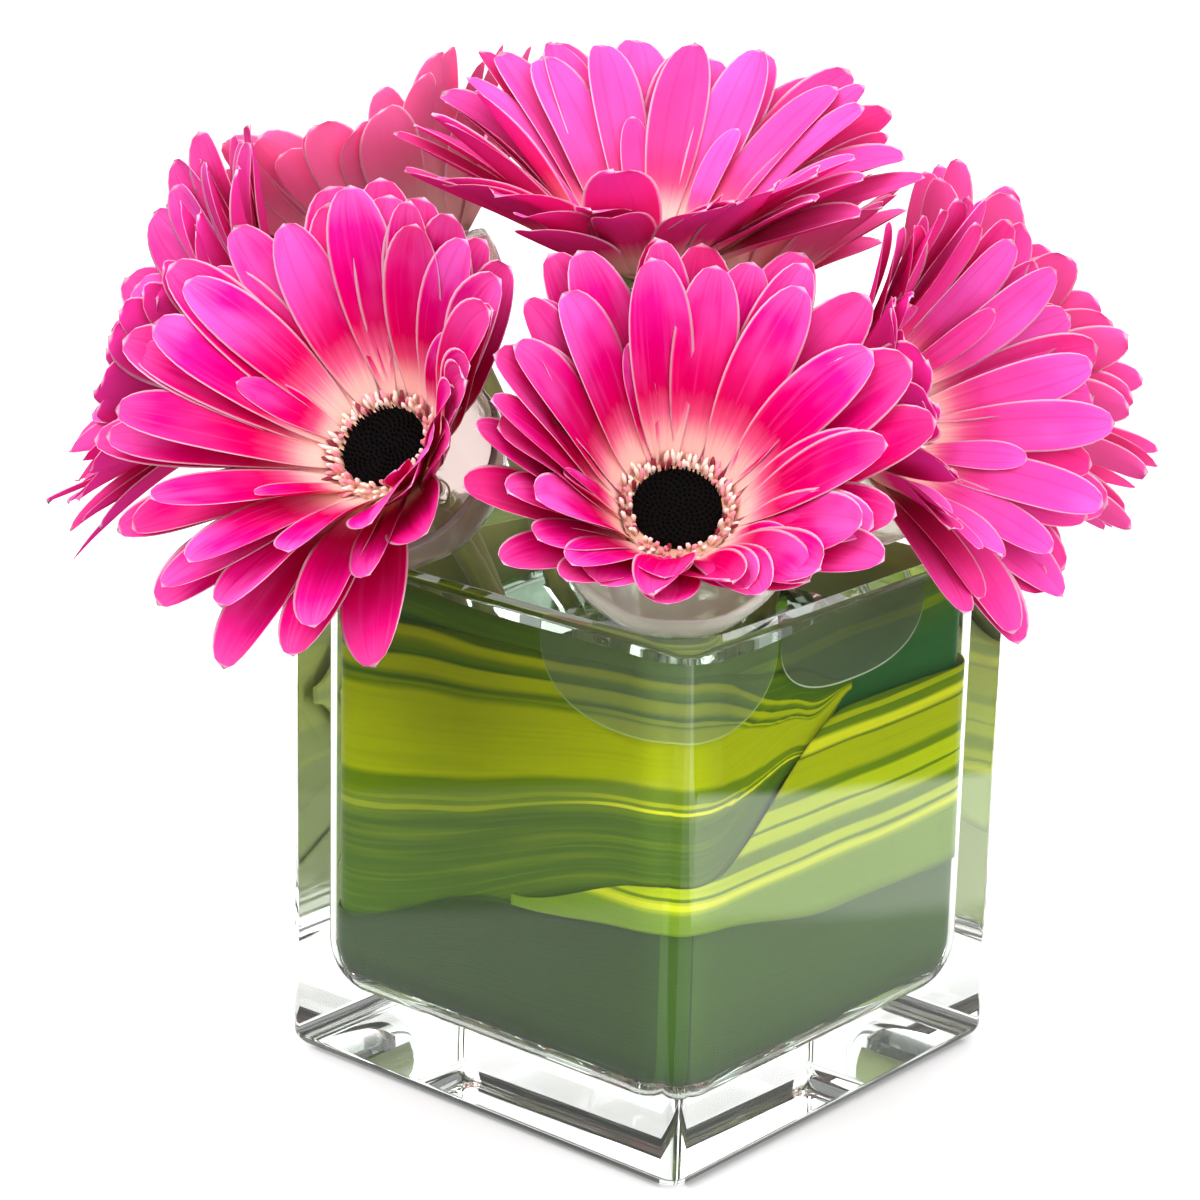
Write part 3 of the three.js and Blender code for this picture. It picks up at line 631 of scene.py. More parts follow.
# The leaves, in shells from the glass inwards, with the places and heights of their edges. A place counts
# the sides of the vase from its corner nearest to the camera, to the right.
LEAVES = [
    dict(name="leaf_sloping", shell=0, level=(48, 100),
         top=[(-0.42, 56), (0, 68.5), (0.52, 99), (1, 97), (1.6, 110), (2.4, 106), (2.8, 84)],
         bottom=[(-0.42, 53.5), (0, 57.5), (0.5, 50), (1, 48.5), (1.6, 54), (2.4, 60), (2.8, 80)]),
    dict(name="leaf_low", shell=1,
         top=[(-1.93, 58), (-1, 37), (-0.42, 53.7), (0, 61), (1, 60), (1.9, 58)],
         bottom=[(-1.93, 20.6), (1.9, 20.6)]),
    dict(name="leaf_banded", shell=2,
         top=[(-2.6, 76), (-2, 100), (-1, 112), (0, 116), (0.3, 112), (0.54, 104)],
         bottom=[(-2.6, 72), (-2, 40), (-1, 32), (0, 64), (0.36, 88), (0.54, 101.5)]),
    dict(name="leaf_lining", shell=3,
         top=[(-1.9, 117), (-1, 121), (0, 119), (1, 121.5), (1.92, 118)],
         bottom=[(-1.9, 30), (1.92, 30)]),
]


def leaf(name, shell, top, bottom, level=None):
    """A thin strip in its shell, with a slightly wavy edge, closed all round.

    Its colours run along it, or stay level between two heights.
    """
    start, end = top[0][0], top[-1][0]
    outer = GAP + shell * LEAF_PITCH
    points = []
    pairs = []
    for station in range(LEAF_STATIONS + 1):
        turns = start + (end - start) * station / LEAF_STATIONS
        low, high = edge_height(bottom, turns), edge_height(top, turns)
        high += LEAF_WAVE * math.sin(turns * LEAF_WAVES + shell) * float(smooth(high - low, 2, 12))
        for inset in (outer, outer + LEAF_THICKNESS):
            for c in range(LEAF_COLUMNS + 1):
                share = c / LEAF_COLUMNS
                z = low + (high - low) * share
                x, y = wall_point(turns, inset + floor_push(z))
                points.append((x, y, z))
                pairs.append((turns, (z - level[0]) / (level[1] - level[0]) if level else share))
    line = LEAF_COLUMNS + 1
    faces = []
    for r in range(LEAF_STATIONS):
        a = r * 2 * line
        b = a + 2 * line
        for c in range(LEAF_COLUMNS):
            faces.append((a + c, b + c, b + c + 1, a + c + 1))
            faces.append((a + line + c, a + line + c + 1, b + line + c + 1, b + line + c))
        faces.append((a, a + line, b + line, b))
        faces.append((a + LEAF_COLUMNS, b + LEAF_COLUMNS, b + line + LEAF_COLUMNS, a + line + LEAF_COLUMNS))
    last = LEAF_STATIONS * 2 * line
    for c in range(LEAF_COLUMNS):
        faces.append((c, c + 1, line + c + 1, line + c))
        faces.append((last + c, last + line + c, last + line + c + 1, last + c + 1))
    return mesh_object(name + "_blade", points, faces, {"blade": pairs},
                       materials=[leaf_material(name + "_look", **LEAF_LOOKS[name])])


# Blooms

class Bloom:
    """A bloom's entry in the table, its axis and the directions across it, as arrays in millimetres."""

    def __init__(self, index, name, at, facing, raised, room, foot, cup, low=(0, 0, 0, 0), over=0, size=1.0,
                 salmon=0.0, pale=0.0):
        self.index = index
        self.name = name
        self.raised = raised
        self.low = low
        self.room = room
        self.over = over
        self.foot = foot
        self.cup = cup
        self.size = size
        self.salmon = salmon
        self.pale = pale
        azimuth, elevation = (math.radians(a) for a in facing)
        level = math.cos(elevation)
        self.middle = np.array(at, dtype=float)
        self.axis = np.array((math.cos(azimuth) * level, math.sin(azimuth) * level, math.sin(elevation)))
        self.across = np.array((-math.sin(azimuth), math.cos(azimuth), 0.0))
        self.rise = np.cross(self.axis, self.across)
        self.planes = []

    def outward(self, angle):
        return self.across * math.cos(angle) + self.rise * math.sin(angle)

    def point(self, radius, angle, height):
        return self.middle + self.outward(angle) * radius + self.axis * height

    def ring(self, radius, height, sides):
        return [self.point(radius, TAU * i / sides, height) for i in range(sides)]

    def small_ring(self, centre, radius, turn, sides):
        """Points round a centre away from the bloom's own, starting at an angle."""
        return [centre + self.outward(turn + TAU * k / sides) * radius for k in range(sides)]


CELL_FORWARD = 12.0  # how far in front of its face the point lies that divides a bloom's room
VASE_CLEARANCE = 1.5

# Planes listed between a bloom and the one that its petals lie over: a point on the plane, and its
# normal towards the upper bloom. The upper one may reach past the ordinary plane between the two, and the
# lower one keeps to both. At the last plane neither keeps to the ordinary one, because it leans over to the
# right, so that the left bloom's upper petals and the right bloom's lower petals have the more room.
SHELVES = [
    dict(over="top", under="front", point=(27, -27, 203), normal=(-0.3, 0.3, 0.906)),
    dict(over="top", under="front_left", point=(-25, -47, 208.5), normal=(0.2, 0.43, 0.88)),
    dict(over="top", under="right", point=(55, 14, 209), normal=(-0.4, -0.08, 0.913)),
    dict(over="front", under="front_left", point=(10.5, -61, 161), normal=(0.91, 0.39, -0.1)),
]
UNBOUND = [(shelf["over"], shelf["under"]) for shelf in SHELVES] + [("front_left", "front")]


def set_planes(blooms):
    """The planes between neighbouring blooms, as (point, normal, reach) for each bloom."""
    hearts = [b.middle + b.axis * CELL_FORWARD + np.array((0, 0, b.over)) for b in blooms]
    for b, own in zip(blooms, hearts):
        for other, heart in zip(blooms, hearts):
            if other is b or (b.name, other.name) in UNBOUND:
                continue
            distance = np.linalg.norm(heart - own)
            reach = (distance ** 2 + b.room ** 2 - other.room ** 2) / (2 * distance)
            b.planes.append((own, (heart - own) / distance, reach))
        for shelf in SHELVES:
            normal = unit(np.array(shelf["normal"]))
            if b.name == shelf["under"]:
                b.planes.append((np.array(shelf["point"]), normal, 0.0))
            elif b.name == shelf["over"]:
                b.planes.append((np.array(shelf["point"]), -normal, 0.0))


# How a petal bends and widens, as shares of its length, degrees or shares of its width
MOST_LIFT = 104.0
ROOT_PRESS = 0.45
FULL_PRESS_AT = 0.55
FULL_ROLL_AT = 0.4
PRESSED_ROLL = 0.22
WIDEST_AT = 0.64
ROOT_WIDTH = 0.3
ROOT_SHARE = 0.12
CHANNEL = 0.2
FOLD_AT = 0.34
FOLD_SPREAD = 0.13

FINE_STEPS = 32  # steps along a petal in which its curve is added up
LEAST_LENGTH = 0.4  # share of its length that a crowded petal keeps at least
LENGTH_STEP = 0.08
PRESS_STEP = 2
RING_GAP = 0.8  # how much further each ring keeps from the neighbours than the one below
STAGGER = 0.6  # how much further every second petal of a ring keeps from them

ALONG, ACROSS = 15, 8  # a petal's faces, which lie closer together at its tip and its edges
TIP_CROWDING = 1.35
EDGE_ANGLE = math.pi / 2 * 0.9
LEAST_TIP = 0.12  # half width
LEAST_THICKNESS = 0.08


def half_width(share):
    """Half of a petal's width along it, as a share of its greatest width."""
    body = ROOT_WIDTH + (1 - ROOT_WIDTH) * np.sin(np.pi / 2 * np.clip(share / WIDEST_AT, 0, 1))
    tip = np.sqrt(np.clip(1 - np.clip((share - WIDEST_AT) / (1 - WIDEST_AT), 0, 1) ** 2.2, 0, 1))
    return 0.5 * np.where(share <= WIDEST_AT, body, tip)


def petal_rows(bloom, petal, press, share):
    """Middle line, sideways and upward directions and half width of a petal at shares of its length."""
    outward = bloom.outward(petal["angle"])
    sideways = np.cross(bloom.axis, outward)
    fine = np.linspace(0, 1, FINE_STEPS + 1)
    bend = press * (ROOT_PRESS + (1 - ROOT_PRESS) * smooth(fine, 0, FULL_PRESS_AT))
    lift = petal["lift"][0] + (petal["lift"][1] - petal["lift"][0]) * fine + bend
    lift = np.radians(np.minimum(MOST_LIFT, lift) + petal["curl"] * fine ** 4)
    step = petal["length"] / FINE_STEPS
    radius = PETAL_ROOT_RADIUS + np.concatenate(([0], np.cumsum(step * np.cos(lift))))[:-1]
    height = petal["root"] + np.concatenate(([0], np.cumsum(step * np.sin(lift))))[:-1]
    lift_here = np.interp(share, fine, lift)
    middle = (bloom.middle + np.outer(np.interp(share, fine, radius), outward)
              + np.outer(np.interp(share, fine, height), bloom.axis))
    middle = middle + np.outer(petal["sway"] * share ** 2, sideways)
    forward = np.outer(np.cos(lift_here), outward) + np.outer(np.sin(lift_here), bloom.axis)
    roll = (petal["roll"] + math.radians(press * PRESSED_ROLL)) * smooth(share, 0, FULL_ROLL_AT)
    side = np.cos(roll)[:, None] * sideways + np.sin(roll)[:, None] * np.cross(forward, sideways)
    normal = np.cross(forward, side)
    return middle, side, normal, half_width(share) * petal["width"]


def is_clear(bloom, petal, press, gap):
    """Whether a petal keeps to its bloom's room and off the vase."""
    share = np.linspace(0, 1, 12)
    middle, side, normal, half = petal_rows(bloom, petal, press, share)
    raised = normal * (half * CHANNEL)[:, None]
    points = np.concatenate((middle, middle + side * half[:, None] + raised,
                             middle - side * half[:, None] + raised))
    points = points[np.tile(share, 3) >= ROOT_SHARE]
    for own, normal_out, reach in bloom.planes:
        if ((points - own) @ normal_out > reach - gap).any():
            return False
    wall = VASE_SIDE / 2 + VASE_CLEARANCE
    inside = (np.abs(points[:, 0]) < wall) & (np.abs(points[:, 1]) < wall)
    return not (inside & (points[:, 2] < VASE_HEIGHT + VASE_CLEARANCE)).any()


def fitted_press(bloom, petal, gap, first):
    """How far a petal is bent up to be clear, and its length if it has to be shorter."""
    for shorter in np.arange(1, LEAST_LENGTH, -LENGTH_STEP):
        tried = dict(petal, length=petal["length"] * shorter)
        for press in np.arange(first, MOST_LIFT - petal["lift"][1], PRESS_STEP):
            if is_clear(bloom, tried, press, gap):
                return tried, press
    return dict(petal, length=petal["length"] * LEAST_LENGTH), MOST_LIFT


def blade_faces():
    """Faces of a petal's grid: the upper side, then the lower side, which shares the rim."""
    columns = ACROSS + 1

    def low(r, c):
        on_rim = r in (0, ALONG) or c in (0, ACROSS)
        return r * columns + c if on_rim else (ALONG + 1) * columns + (r - 1) * (ACROSS - 1) + c - 1

    faces = []
    for r in range(ALONG):
        for c in range(ACROSS):
            here = r * columns + c
            faces.append((here, here + 1, here + columns + 1, here + columns))
            faces.append((low(r, c), low(r + 1, c), low(r + 1, c + 1), low(r, c + 1)))
    return faces


BLADE_FACES = blade_faces()
BLADE_SHARE = 1 - (1 - np.linspace(0, 1, ALONG + 1)) ** TIP_CROWDING
BLADE_ACROSS = np.sin(np.linspace(-1, 1, ACROSS + 1) * EDGE_ANGLE) / math.sin(EDGE_ANGLE)


def add_petal(out, bloom, petal, press, painted_ring_shade):
    """A petal's blade: a soft channel with two lengthwise folds and a rim that waves a little."""
    share, u = BLADE_SHARE, BLADE_ACROSS
    middle, side, normal, half = petal_rows(bloom, petal, press, share)
    half = np.maximum(half, LEAST_TIP * (share > 0.99))
    fold = petal["fold"] * np.exp(-((np.abs(u) - FOLD_AT) / FOLD_SPREAD) ** 2)
    fade = smooth(share, 0.05, 0.3) * (1 - smooth(share, 0.75, 1.0))
    wave = petal["wave"] * np.sin(share * petal["waves"] + petal["phase"])
    height = (CHANNEL * petal["cup"] * half[:, None] * np.abs(u)[None, :] ** 1.7
              - fade[:, None] * fold[None, :]
              + (wave * smooth(share, 0.2, 0.8))[:, None] * (u ** 3)[None, :])
    top = (middle[:, None, :] + side[:, None, :] * (half[:, None] * u[None, :])[:, :, None]
           + normal[:, None, :] * height[:, :, None])
    thick = PETAL_THICKNESS * (1 - np.abs(u) ** 3)[None, :] * np.sqrt(np.clip(1 - share, 0, 1))[:, None]
    under = top - normal[:, None, :] * np.maximum(thick, LEAST_THICKNESS)[:, :, None]
    points = np.concatenate((top.reshape(-1, 3), under[1:-1, 1:-1].reshape(-1, 3)))
    across, along = np.meshgrid((u + 1) / 2, share)
    blade = np.stack((across, along), axis=-1)
    blade = np.concatenate((blade.reshape(-1, 2), blade[1:-1, 1:-1].reshape(-1, 2)))
    upper = (ALONG + 1) * (ACROSS + 1)
    ones = np.ones((len(points), 2))
    tone = ones * (petal["tone"], 1)
    tone[upper:, 1] = 0
    # The place map holds the bloom's lean to salmon and the painted shade of the petal's ring.
    out.add(points, BLADE_FACES, blade=blade, tone=tone, place=ones * (bloom.salmon, painted_ring_shade),
            tint=ones * bloom.pale)


def petals(bloom, out):
    """All petals of a bloom, ring by ring, each bent clear of the neighbours and of the petals below."""
    below = []
    for level, ring in enumerate(PETAL_RINGS):
        spacing = TAU / ring["count"]
        here = []
        for i in range(ring["count"]):
            seed = bloom.index * 1000 + level * 100 + i
            angle = (i + 0.5 * level + spread(seed, 0.16)) * spacing
            lowness = ((1 - math.sin(angle)) / 2) ** 2
            lifted = bloom.raised + bloom.low[level] * lowness + spread(seed + 0.3, 3.5)
            petal = dict(
                angle=angle,
                length=ring["length"] * bloom.size * (1 + spread(seed + 0.1, 0.08) - 0.02),
                width=ring["width"] * bloom.size * (1 + spread(seed + 0.2, 0.14)),
                lift=(ring["lift"][0] + lifted, ring["lift"][1] + lifted + spread(seed + 0.4, 5)),
                root=ring["root"],
                roll=math.radians(9 + spread(seed + 0.5, 4)),
                fold=0.35 + spread(seed + 0.6, 0.15),
                wave=spread(seed + 0.7, 0.9),
                waves=5 + spread(seed + 0.8, 2),
                phase=chance(seed + 0.9) * TAU,
                cup=1.0 + spread(seed + 0.15, 0.5),
                sway=spread(seed + 0.25, 2.5),
                curl=spread(seed + 0.35, 16) - 3,
                tone=chance(seed + 0.45),
            )
            near = [p for a, p in below if math.cos(a - angle) > math.cos(spacing)]
            first = 0.5 * max(near, default=0)
            gap = BLOOM_GAP + level * RING_GAP + (i % 2) * STAGGER
            fitted, press = fitted_press(bloom, petal, gap, first)
            here.append((angle, press))
            add_petal(out, bloom, fitted, press, 1.0 - level / (len(PETAL_RINGS) - 1))
        below = here


PALE, PINK, DARK, THROAT = range(4)  # places of the florets' materials

# Rows of florets round the eye: number, radius, height and how far they lean outwards
CROWN_ROWS = [(40, EYE_RADIUS + 0.4, 4.0, 0.5), (44, EYE_RADIUS + 1.5, 3.8, 1.3),
              (46, EYE_RADIUS + 2.6, 3.2, 2.2)]
FLORET_PROFILE = [(0, 0.42), (0.5, 0.5), (0.8, 0.6), (1.0, 0.18)]  # share of the height and radius
FLORET_SIDES = 5


def crown(bloom, out):
    """The rings of small florets between the petals and the eye, curling outwards."""
    faces = loft_faces(len(FLORET_PROFILE), FLORET_SIDES)
    pairs = [(0, share) for share, _ in FLORET_PROFILE for _ in range(FLORET_SIDES)]
    for row, (count, radius, height, length) in enumerate(CROWN_ROWS):
        for i in range(count):
            seed = 5000 + bloom.index * 700 + row * 100 + i
            angle = TAU * (i + 0.5 * row + spread(seed, 0.4)) / count
            foot = bloom.point(radius + spread(seed + 0.1, 0.4), angle, CORE_TOP - 0.6)
            tall = height * (1 + spread(seed + 0.2, 0.3))
            lean = length * (1 + spread(seed + 0.3, 0.5))
            sideways = np.cross(bloom.axis, bloom.outward(angle))
            bend = bloom.outward(angle) * lean + sideways * spread(seed + 0.5, 0.8)
            rows = []
            for share, size in FLORET_PROFILE:
                centre = foot + bloom.axis * tall * share + bend * share ** 2
                rows.extend(bloom.small_ring(centre, size, angle, FLORET_SIDES))
            pick = chance(seed + 0.4)
            look = PALE if pick < 0.55 else PINK if pick < 0.85 else DARK
            out.add(rows, faces, look, blade=pairs)


CORE_SIDES = 32

# The round core that carries the petals, and the dome of the eye, as radius and height. Then the surface of
# the eye under its disc florets, their number, and their radius at foot and tip.
CORE_PROFILE = [(CORE_RADIUS - 1.5, CORE_BOTTOM), (CORE_RADIUS, CORE_BOTTOM + 1),
                (CORE_RADIUS - 0.3, CORE_TOP)]
EYE_PROFILE = [(EYE_RADIUS, 1.9), (EYE_RADIUS, 2.6), (EYE_RADIUS * 0.86, 3.9), (EYE_RADIUS * 0.6, 3.9),
               (EYE_RADIUS * 0.35, 3.3), (EYE_RADIUS * 0.1, 3.1)]
EYE_SURFACE = ((0, 3.4, 5.9, 8.4, 9.8), (3.0, 3.2, 3.8, 3.8, 2.6))
DISC_FLORETS = 230
DISC_FOOT = 0.36
DISC_TIP = 0.2


def eye(bloom, materials):
    """A sunken dome covered with rows of small pointed disc florets."""
    out = Collector("blade")
    out.add_rings(bloom, EYE_PROFILE)
    golden = math.pi * (3 - math.sqrt(5))
    for i in range(DISC_FLORETS):
        share = math.sqrt((i + 0.5) / DISC_FLORETS)
        radius, angle = EYE_RADIUS * 0.97 * share, i * golden
        base = np.interp(radius, *EYE_SURFACE)
        tall = 0.7 + 0.7 * share + 0.4 * chance(9000 + i)
        low = bloom.small_ring(bloom.point(radius, angle, base - 0.4), DISC_FOOT, angle, 4)
        high = bloom.small_ring(bloom.point(radius * 1.02, angle, base + tall), DISC_TIP, angle, 4)
        out.add(low + high, loft_faces(2, 4), blade=np.repeat(((0, 0), (0, 1)), 4, axis=0))
    return out.build("bloom_%s_disc" % bloom.name, materials)


# Stems, calyxes and cups

STEM_LEAD = 30.0
STEM_RISE = 75.0
STEM_STRAIGHT = CUP_DEPTH + 2
STEM_SIDES = 20
STEM_STEPS = 40
CALYX_PROFILE = [(CORE_RADIUS - 2.4, CORE_BOTTOM - GAP), (CORE_RADIUS - 1.6, CORE_BOTTOM - 2.4), (9.6, -6.0),
                 (7.0, -9.0), (4.2, -11.6), (STEM_RADIUS, -CALYX_DEPTH), (STEM_RADIUS, -STEM_STRAIGHT)]

# Rows of bracts on the calyx: radius, height, number and length. Then a bract's half widths along it.
BRACT_ROWS = [(8.6, -7.6, 13, 6.0), (10.2, -5.0, 16, 6.5), (11.2, -3.4, 18, 6.0)]
BRACT_PROFILE = [(0, 1.3), (0.45, 1.5), (0.8, 0.9), (1.0, 0.1)]


def stem_line(bloom):
    """Points of the stem's curve, from under the calyx down to the floor of the vase."""
    start = bloom.middle - bloom.axis * STEM_STRAIGHT
    end = np.array((bloom.foot[0], bloom.foot[1], FLOOR_THICKNESS + GAP))
    lead = start - bloom.axis * STEM_LEAD
    rise = end + np.array((0, 0, STEM_RISE))
    line = []
    for i in range(1, STEM_STEPS + 1):
        t = i / STEM_STEPS
        s = 1 - t
        line.append(s ** 3 * start + 3 * s ** 2 * t * lead + 3 * s * t * t * rise + t ** 3 * end)
    return line


def stem(bloom, material):
    """The calyx with its bracts, and the stem down to the floor of the vase."""
    out = Collector("blade")
    rings = [bloom.ring(radius, height, STEM_SIDES) for radius, height in CALYX_PROFILE]
    line = stem_line(bloom)
    turns = [TAU * k / STEM_SIDES for k in range(STEM_SIDES)]
    across = bloom.across
    before = bloom.middle - bloom.axis * STEM_STRAIGHT
    for point in line:
        down = np.array((0.0, 0.0, -1.0)) if point is line[-1] else unit(point - before)
        across = unit(across - down * (across @ down))
        other = np.cross(-down, across)
        rings.append([point + (across * math.cos(a) + other * math.sin(a)) * STEM_RADIUS for a in turns])
        before = point
    rings.reverse()
    points = np.array([p for ring in rings for p in ring])
    pairs = [(k / STEM_SIDES, r / 6) for r in range(len(rings)) for k in range(STEM_SIDES)]
    out.add(points, loft_faces(len(rings), STEM_SIDES), blade=pairs)
    for row, (radius, height, count, length) in enumerate(BRACT_ROWS):
        for i in range(count):
            add_bract(out, bloom, radius, height, length, TAU * (i + 0.5 * row) / count)
    return out.build("bloom_%s_stalk" % bloom.name, [material])


def add_bract(out, bloom, radius, height, length, angle):
    """One of the small pointed green scales that clasp the calyx."""
    outward = bloom.outward(angle)
    sideways = np.cross(bloom.axis, outward)
    foot = bloom.point(radius - 1.2, angle, height)
    rows = []
    for share, half in BRACT_PROFILE:
        centre = foot + (bloom.axis * 0.62 + outward * 0.5) * length * share
        ways = (sideways * half, outward * 0.5, sideways * -half, outward * -0.2)
        rows.extend(centre + way for way in ways)
    out.add(rows, loft_faces(4, 4), blade=[(k % 4 / 4, k // 4 / 3) for k in range(16)])


CUP_SIDES = 64
CUP_STEPS = 12


def cup(bloom, material):
    """A florist's cup: a thin clear bowl with a slightly crinkled wall and a hole for the stem."""
    outer = []
    for a in np.linspace(0.0, math.pi / 2, CUP_STEPS):
        radius = bloom.cup * math.sin(a) ** 0.85 + 3.3 * math.cos(a)
        height = -CUP_DEPTH * math.cos(a) ** 1.1 - 1.5
        outer.append((max(radius, STEM_RADIUS + 0.5), max(height, -CUP_DEPTH)))
    inner = [(r - CUP_WALL * float(smooth(r, 3, 8)), height + CUP_WALL * 0.8) for r, height in outer]
    points = []
    for radius, height in outer[::-1] + inner:
        for i in range(CUP_SIDES):
            angle = TAU * i / CUP_SIDES
            crinkle = 0.25 * math.sin(angle * 9 + bloom.index) * float(smooth(radius, 12, 28))
            points.append(bloom.point(radius + crinkle, angle, height))
    faces = [face[::-1] for face in loft_faces(2 * CUP_STEPS, CUP_SIDES, closed=True)]
    return mesh_object("bloom_%s_clear_cup" % bloom.name, points, faces, materials=[material])


# Two more clear cups stand between the glass and the leaves, and show only as hazy half rounds under the
# rim: the stretch of the wall that each covers, counted in sides as for the leaves, and the heights of its
# ends and of its lowest point.
FILM_TOP = 122.5
FILM_INSET = 0.15
FILM_LINE = 0.4
FILM_ROUNDNESS = 2.5
FILM_COLUMNS = 120
FILM_ROWS = 6
FILM_EDGE_HAZE = 0.85
FILMS = [
    dict(name="film_front", span=(-0.345, 0.235), ends=121, lowest=101.8, colour=srgb(112, 126, 98),
         line=srgb(160, 178, 96), haze=0.36),
    dict(name="film_right", span=(0.243, 0.797), ends=119.5, lowest=104.6, colour=srgb(86, 94, 72),
         line=srgb(178, 190, 160), haze=0.55),
]


def film_material(name, colour, haze):
    """Hazy clear plastic with faint scratches."""
    n = Nodes(name)
    grain = n.noise(n.place(), 260.0, 3.0)
    tone = n.mix(grain * 0.5, colour, tuple(0.7 * c for c in colour[:3]) + (1.0,))
    return n.finish(n.shader(tone, 0.5, Normal=n.bump(grain, 0.1, 0.0003), Alpha=haze,
                             Specular_IOR_Level=0.1))


def film(name, span, ends, lowest, colour, line, haze):
    """One hazy half round: a thin line along its edge, and the haze above it."""
    points = []
    for c in range(FILM_COLUMNS + 1):
        across = -math.cos(math.pi * c / FILM_COLUMNS)
        turns = (span[0] + span[1] + (span[1] - span[0]) * across) / 2
        low = ends - (ends - lowest) * (1 - abs(across) ** FILM_ROUNDNESS) ** (1 / FILM_ROUNDNESS)
        height = FILM_TOP - low - FILM_LINE
        x, y = wall_point(turns, FILM_INSET)
        points.append((x, y, low))
        points.extend((x, y, low + FILM_LINE + height * r / FILM_ROWS) for r in range(FILM_ROWS + 1))
    count = FILM_ROWS + 2
    faces = []
    looks = []
    for c in range(FILM_COLUMNS):
        for r in range(count - 1):
            a = c * count + r
            b = a + count
            faces.append((a, b, b + 1, a + 1))
            looks.append(0 if r else 1)
    materials = [film_material(name + "_haze", colour, haze),
                 film_material(name + "_edge", line, FILM_EDGE_HAZE)]
    return mesh_object(name, points, faces, materials=materials, looks=looks)


# Whole object

def dress():
    """Every piece of the object, on the frame's body and in place of its CAD node."""
    glass = vase()
    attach(glass, "root")
    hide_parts("vase")
    for entry in LEAVES:
        blade = leaf(**entry)
        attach(blade, "root")
        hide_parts(entry["name"])
    for entry in FILMS:
        patch = film(**entry)
        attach(patch, "root")
    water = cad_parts["water"]
    water.data.materials.clear()
    water.data.materials.append(water_material())

    petal = petal_material()
    florets = [
        floret_material("floret_pale", srgb(255, 220, 196), srgb(255, 226, 214)),
        floret_material("floret_pink", srgb(255, 196, 176), srgb(246, 128, 158)),
        floret_material("floret_dark", srgb(170, 60, 80), srgb(110, 8, 36)),
        throat_material(),
    ]
    black = eye_material()
    green = stem_material()
    clear = cup_material("clear_cup", srgb(214, 196, 190), 0.9)
    milky = cup_material("milky_cup", srgb(240, 238, 226), 0.7)
    blooms = [Bloom(i, **entry) for i, entry in enumerate(BLOOMS)]
    set_planes(blooms)
    for bloom in blooms:
        blades = Collector("blade", "tone", "place", "tint")
        petals(bloom, blades)
        middle = Collector("blade")
        middle.add_rings(bloom, CORE_PROFILE, THROAT)
        crown(bloom, middle)
        pieces = {
            "rays": blades.build("bloom_%s_petals" % bloom.name, [petal]),
            "eye": eye(bloom, [black]),
            "stem": stem(bloom, green),
            "cup": cup(bloom, milky if bloom.name in ("front", "right") else clear),
        }
        ring = middle.build("bloom_%s_florets" % bloom.name, florets)
        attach(ring, "root")
        for kind, piece in pieces.items():
            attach(piece, "root")
            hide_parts("bloom_%s_%s" % (bloom.name, kind))


# Stage, light and camera

CAMERA_AT = (512.6, -627.6, 363.9)
CAMERA_RIGHT = (0.7603, 0.6492, 0.0225)
CAMERA_UP = (-0.21, 0.2129, 0.9542)
CAMERA_BACK = (0.6146, -0.7302, 0.2982)
LENS = 109.1
SENSOR = 36
FARTHEST = 50  # metres from the camera at which it stops seeing
FLOOR_REACH = 6000.0
TABLE_END = 0.25  # half width of the white table top beside the vase, in metres
TABLE_EDGE = 0.01
TABLE_SPREAD = 0.19  # how much wider it gets for each metre behind the vase
PICTURE_SIDE = (0.155, 0.17)  # where the picture ends beside the vase, in metres
PICTURE_FRONT = -0.135  # where it ends in front of the vase, in metres
TABLE_GLOW = 1.4  # how much the part beside the picture on the right shines by itself
FLOOR_AIR = 0.3  # film of air under the glass, without which the floor would darken the thick base


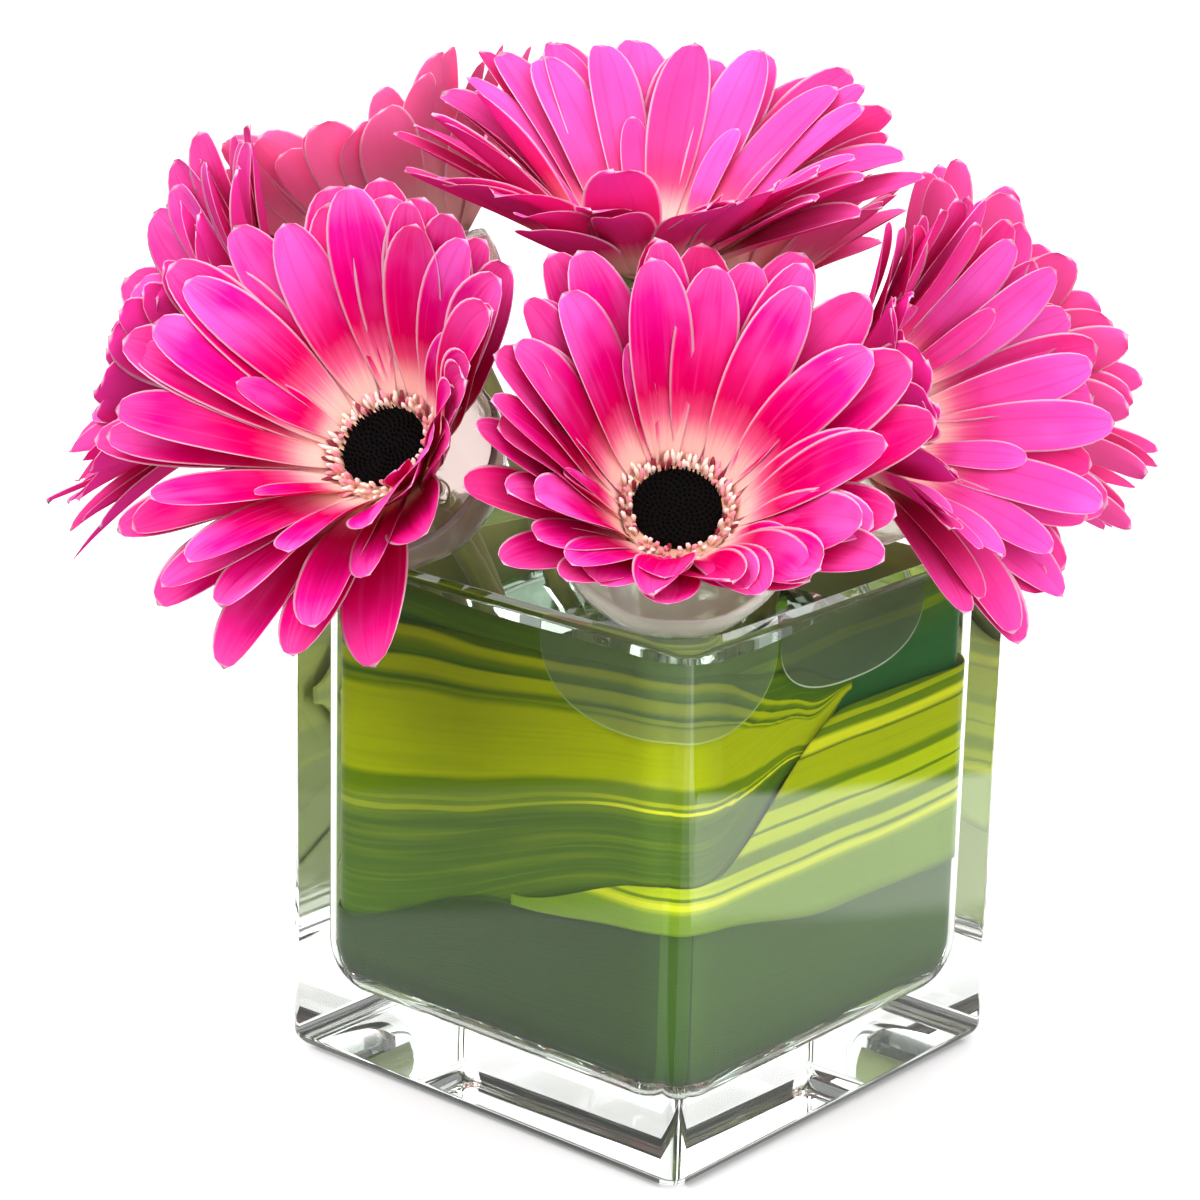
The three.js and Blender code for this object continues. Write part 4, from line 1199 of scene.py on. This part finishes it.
def floor():
    """A white table top, with painted shade on its left and painted dark past either end, out of the
    picture.

    The walls of the vase mirror it, so the leaves look paler below the mirrored end of the table.
    """
    n = Nodes("pale_floor")
    x, y, _ = n.parts(n.place())
    to_right = x * CAMERA_RIGHT[0] + y * CAMERA_RIGHT[1]
    away = y * CAMERA_RIGHT[0] - x * CAMERA_RIGHT[1]
    past_picture = abs(to_right) - n.math("MAXIMUM", away, 0.0) * TABLE_SPREAD
    white = n.mix(n.noise(n.place(), 0.8, 2.0), srgb(216, 216, 216), srgb(221, 221, 221))
    beside = n.step(past_picture, *PICTURE_SIDE)
    below_picture = n.math("LESS_THAN", away, PICTURE_FRONT)
    # Painted shade: on the left, beside and in front of the picture, the table is grey.
    dim = n.math("MAXIMUM", beside, below_picture) * n.math("LESS_THAN", to_right, 0.0)
    painted_dim_grey = n.mix(below_picture, srgb(140, 140, 136), srgb(112, 114, 106))
    dimmed = n.mix(dim, white, painted_dim_grey)
    # Painted shade: past its ends the table is near black, standing in for an unlit room.
    ended = n.step(past_picture, TABLE_END, TABLE_END + TABLE_EDGE)
    colour = n.mix(ended, dimmed, srgb(20, 22, 20))
    # Painted light: beside the picture on the right the table glows, though it is no lamp.
    lit = beside * n.math("GREATER_THAN", to_right, 0.0) * n.math("SUBTRACT", 1.0, ended)
    material = n.finish(n.shader(colour, 0.6, Emission_Color=(1, 1, 1, 1),
                                 Emission_Strength=lit * TABLE_GLOW))
    r, z = FLOOR_REACH, -FLOOR_AIR
    plane = mesh_object("floor", [(-r, -r, z), (r, -r, z), (r, r, z), (-r, r, z)], [(0, 1, 2, 3)],
                        materials=[material])


# Lamps: name, the way that the light goes, how wide the lamp looks in degrees, and its power
SUNS = [
    ("key", (0.1, 0.75, -0.9), 50, 2.5),
    ("fill", (-0.8, 0.5, -0.6), 60, 1.2),
    ("rim", (0.1, -0.8, -0.7), 60, 1.6),
    ("side", (-0.9, 0.35, -0.3), 60, 1.1),
]
WORLD_LIGHT = 1.12
BOUNCES = 24
GLOSSY_BOUNCES = 14


def studio():
    """White surroundings, soft lamps, and the camera at the photograph's place."""
    scene = bpy.context.scene
    world = bpy.data.worlds.new("studio")
    scene.world = world
    world.use_nodes = True
    world.node_tree.nodes["Background"].inputs[0].default_value = (1, 1, 1, 1)
    world.node_tree.nodes["Background"].inputs[1].default_value = WORLD_LIGHT
    for name, towards, angle, power in SUNS:
        light = bpy.data.lights.new(name, "SUN")
        light.angle = math.radians(angle)
        light.energy = power
        lamp = add_object(name, light)
        lamp.rotation_euler = Vector(towards).to_track_quat("-Z", "Y").to_euler()
    camera = bpy.data.cameras.new("camera")
    camera.lens = LENS
    camera.sensor_width = SENSOR
    camera.clip_end = FARTHEST
    thing = add_object("camera", camera)
    turn = Matrix((CAMERA_RIGHT, CAMERA_UP, CAMERA_BACK)).transposed()
    thing.matrix_world = Matrix.Translation(Vector(CAMERA_AT) * MM) @ turn.to_4x4()
    scene.camera = thing
    scene.view_settings.view_transform = "Standard"
    scene.cycles.max_bounces = BOUNCES
    scene.cycles.transmission_bounces = BOUNCES
    scene.cycles.glossy_bounces = GLOSSY_BOUNCES


dress()
floor()
studio()
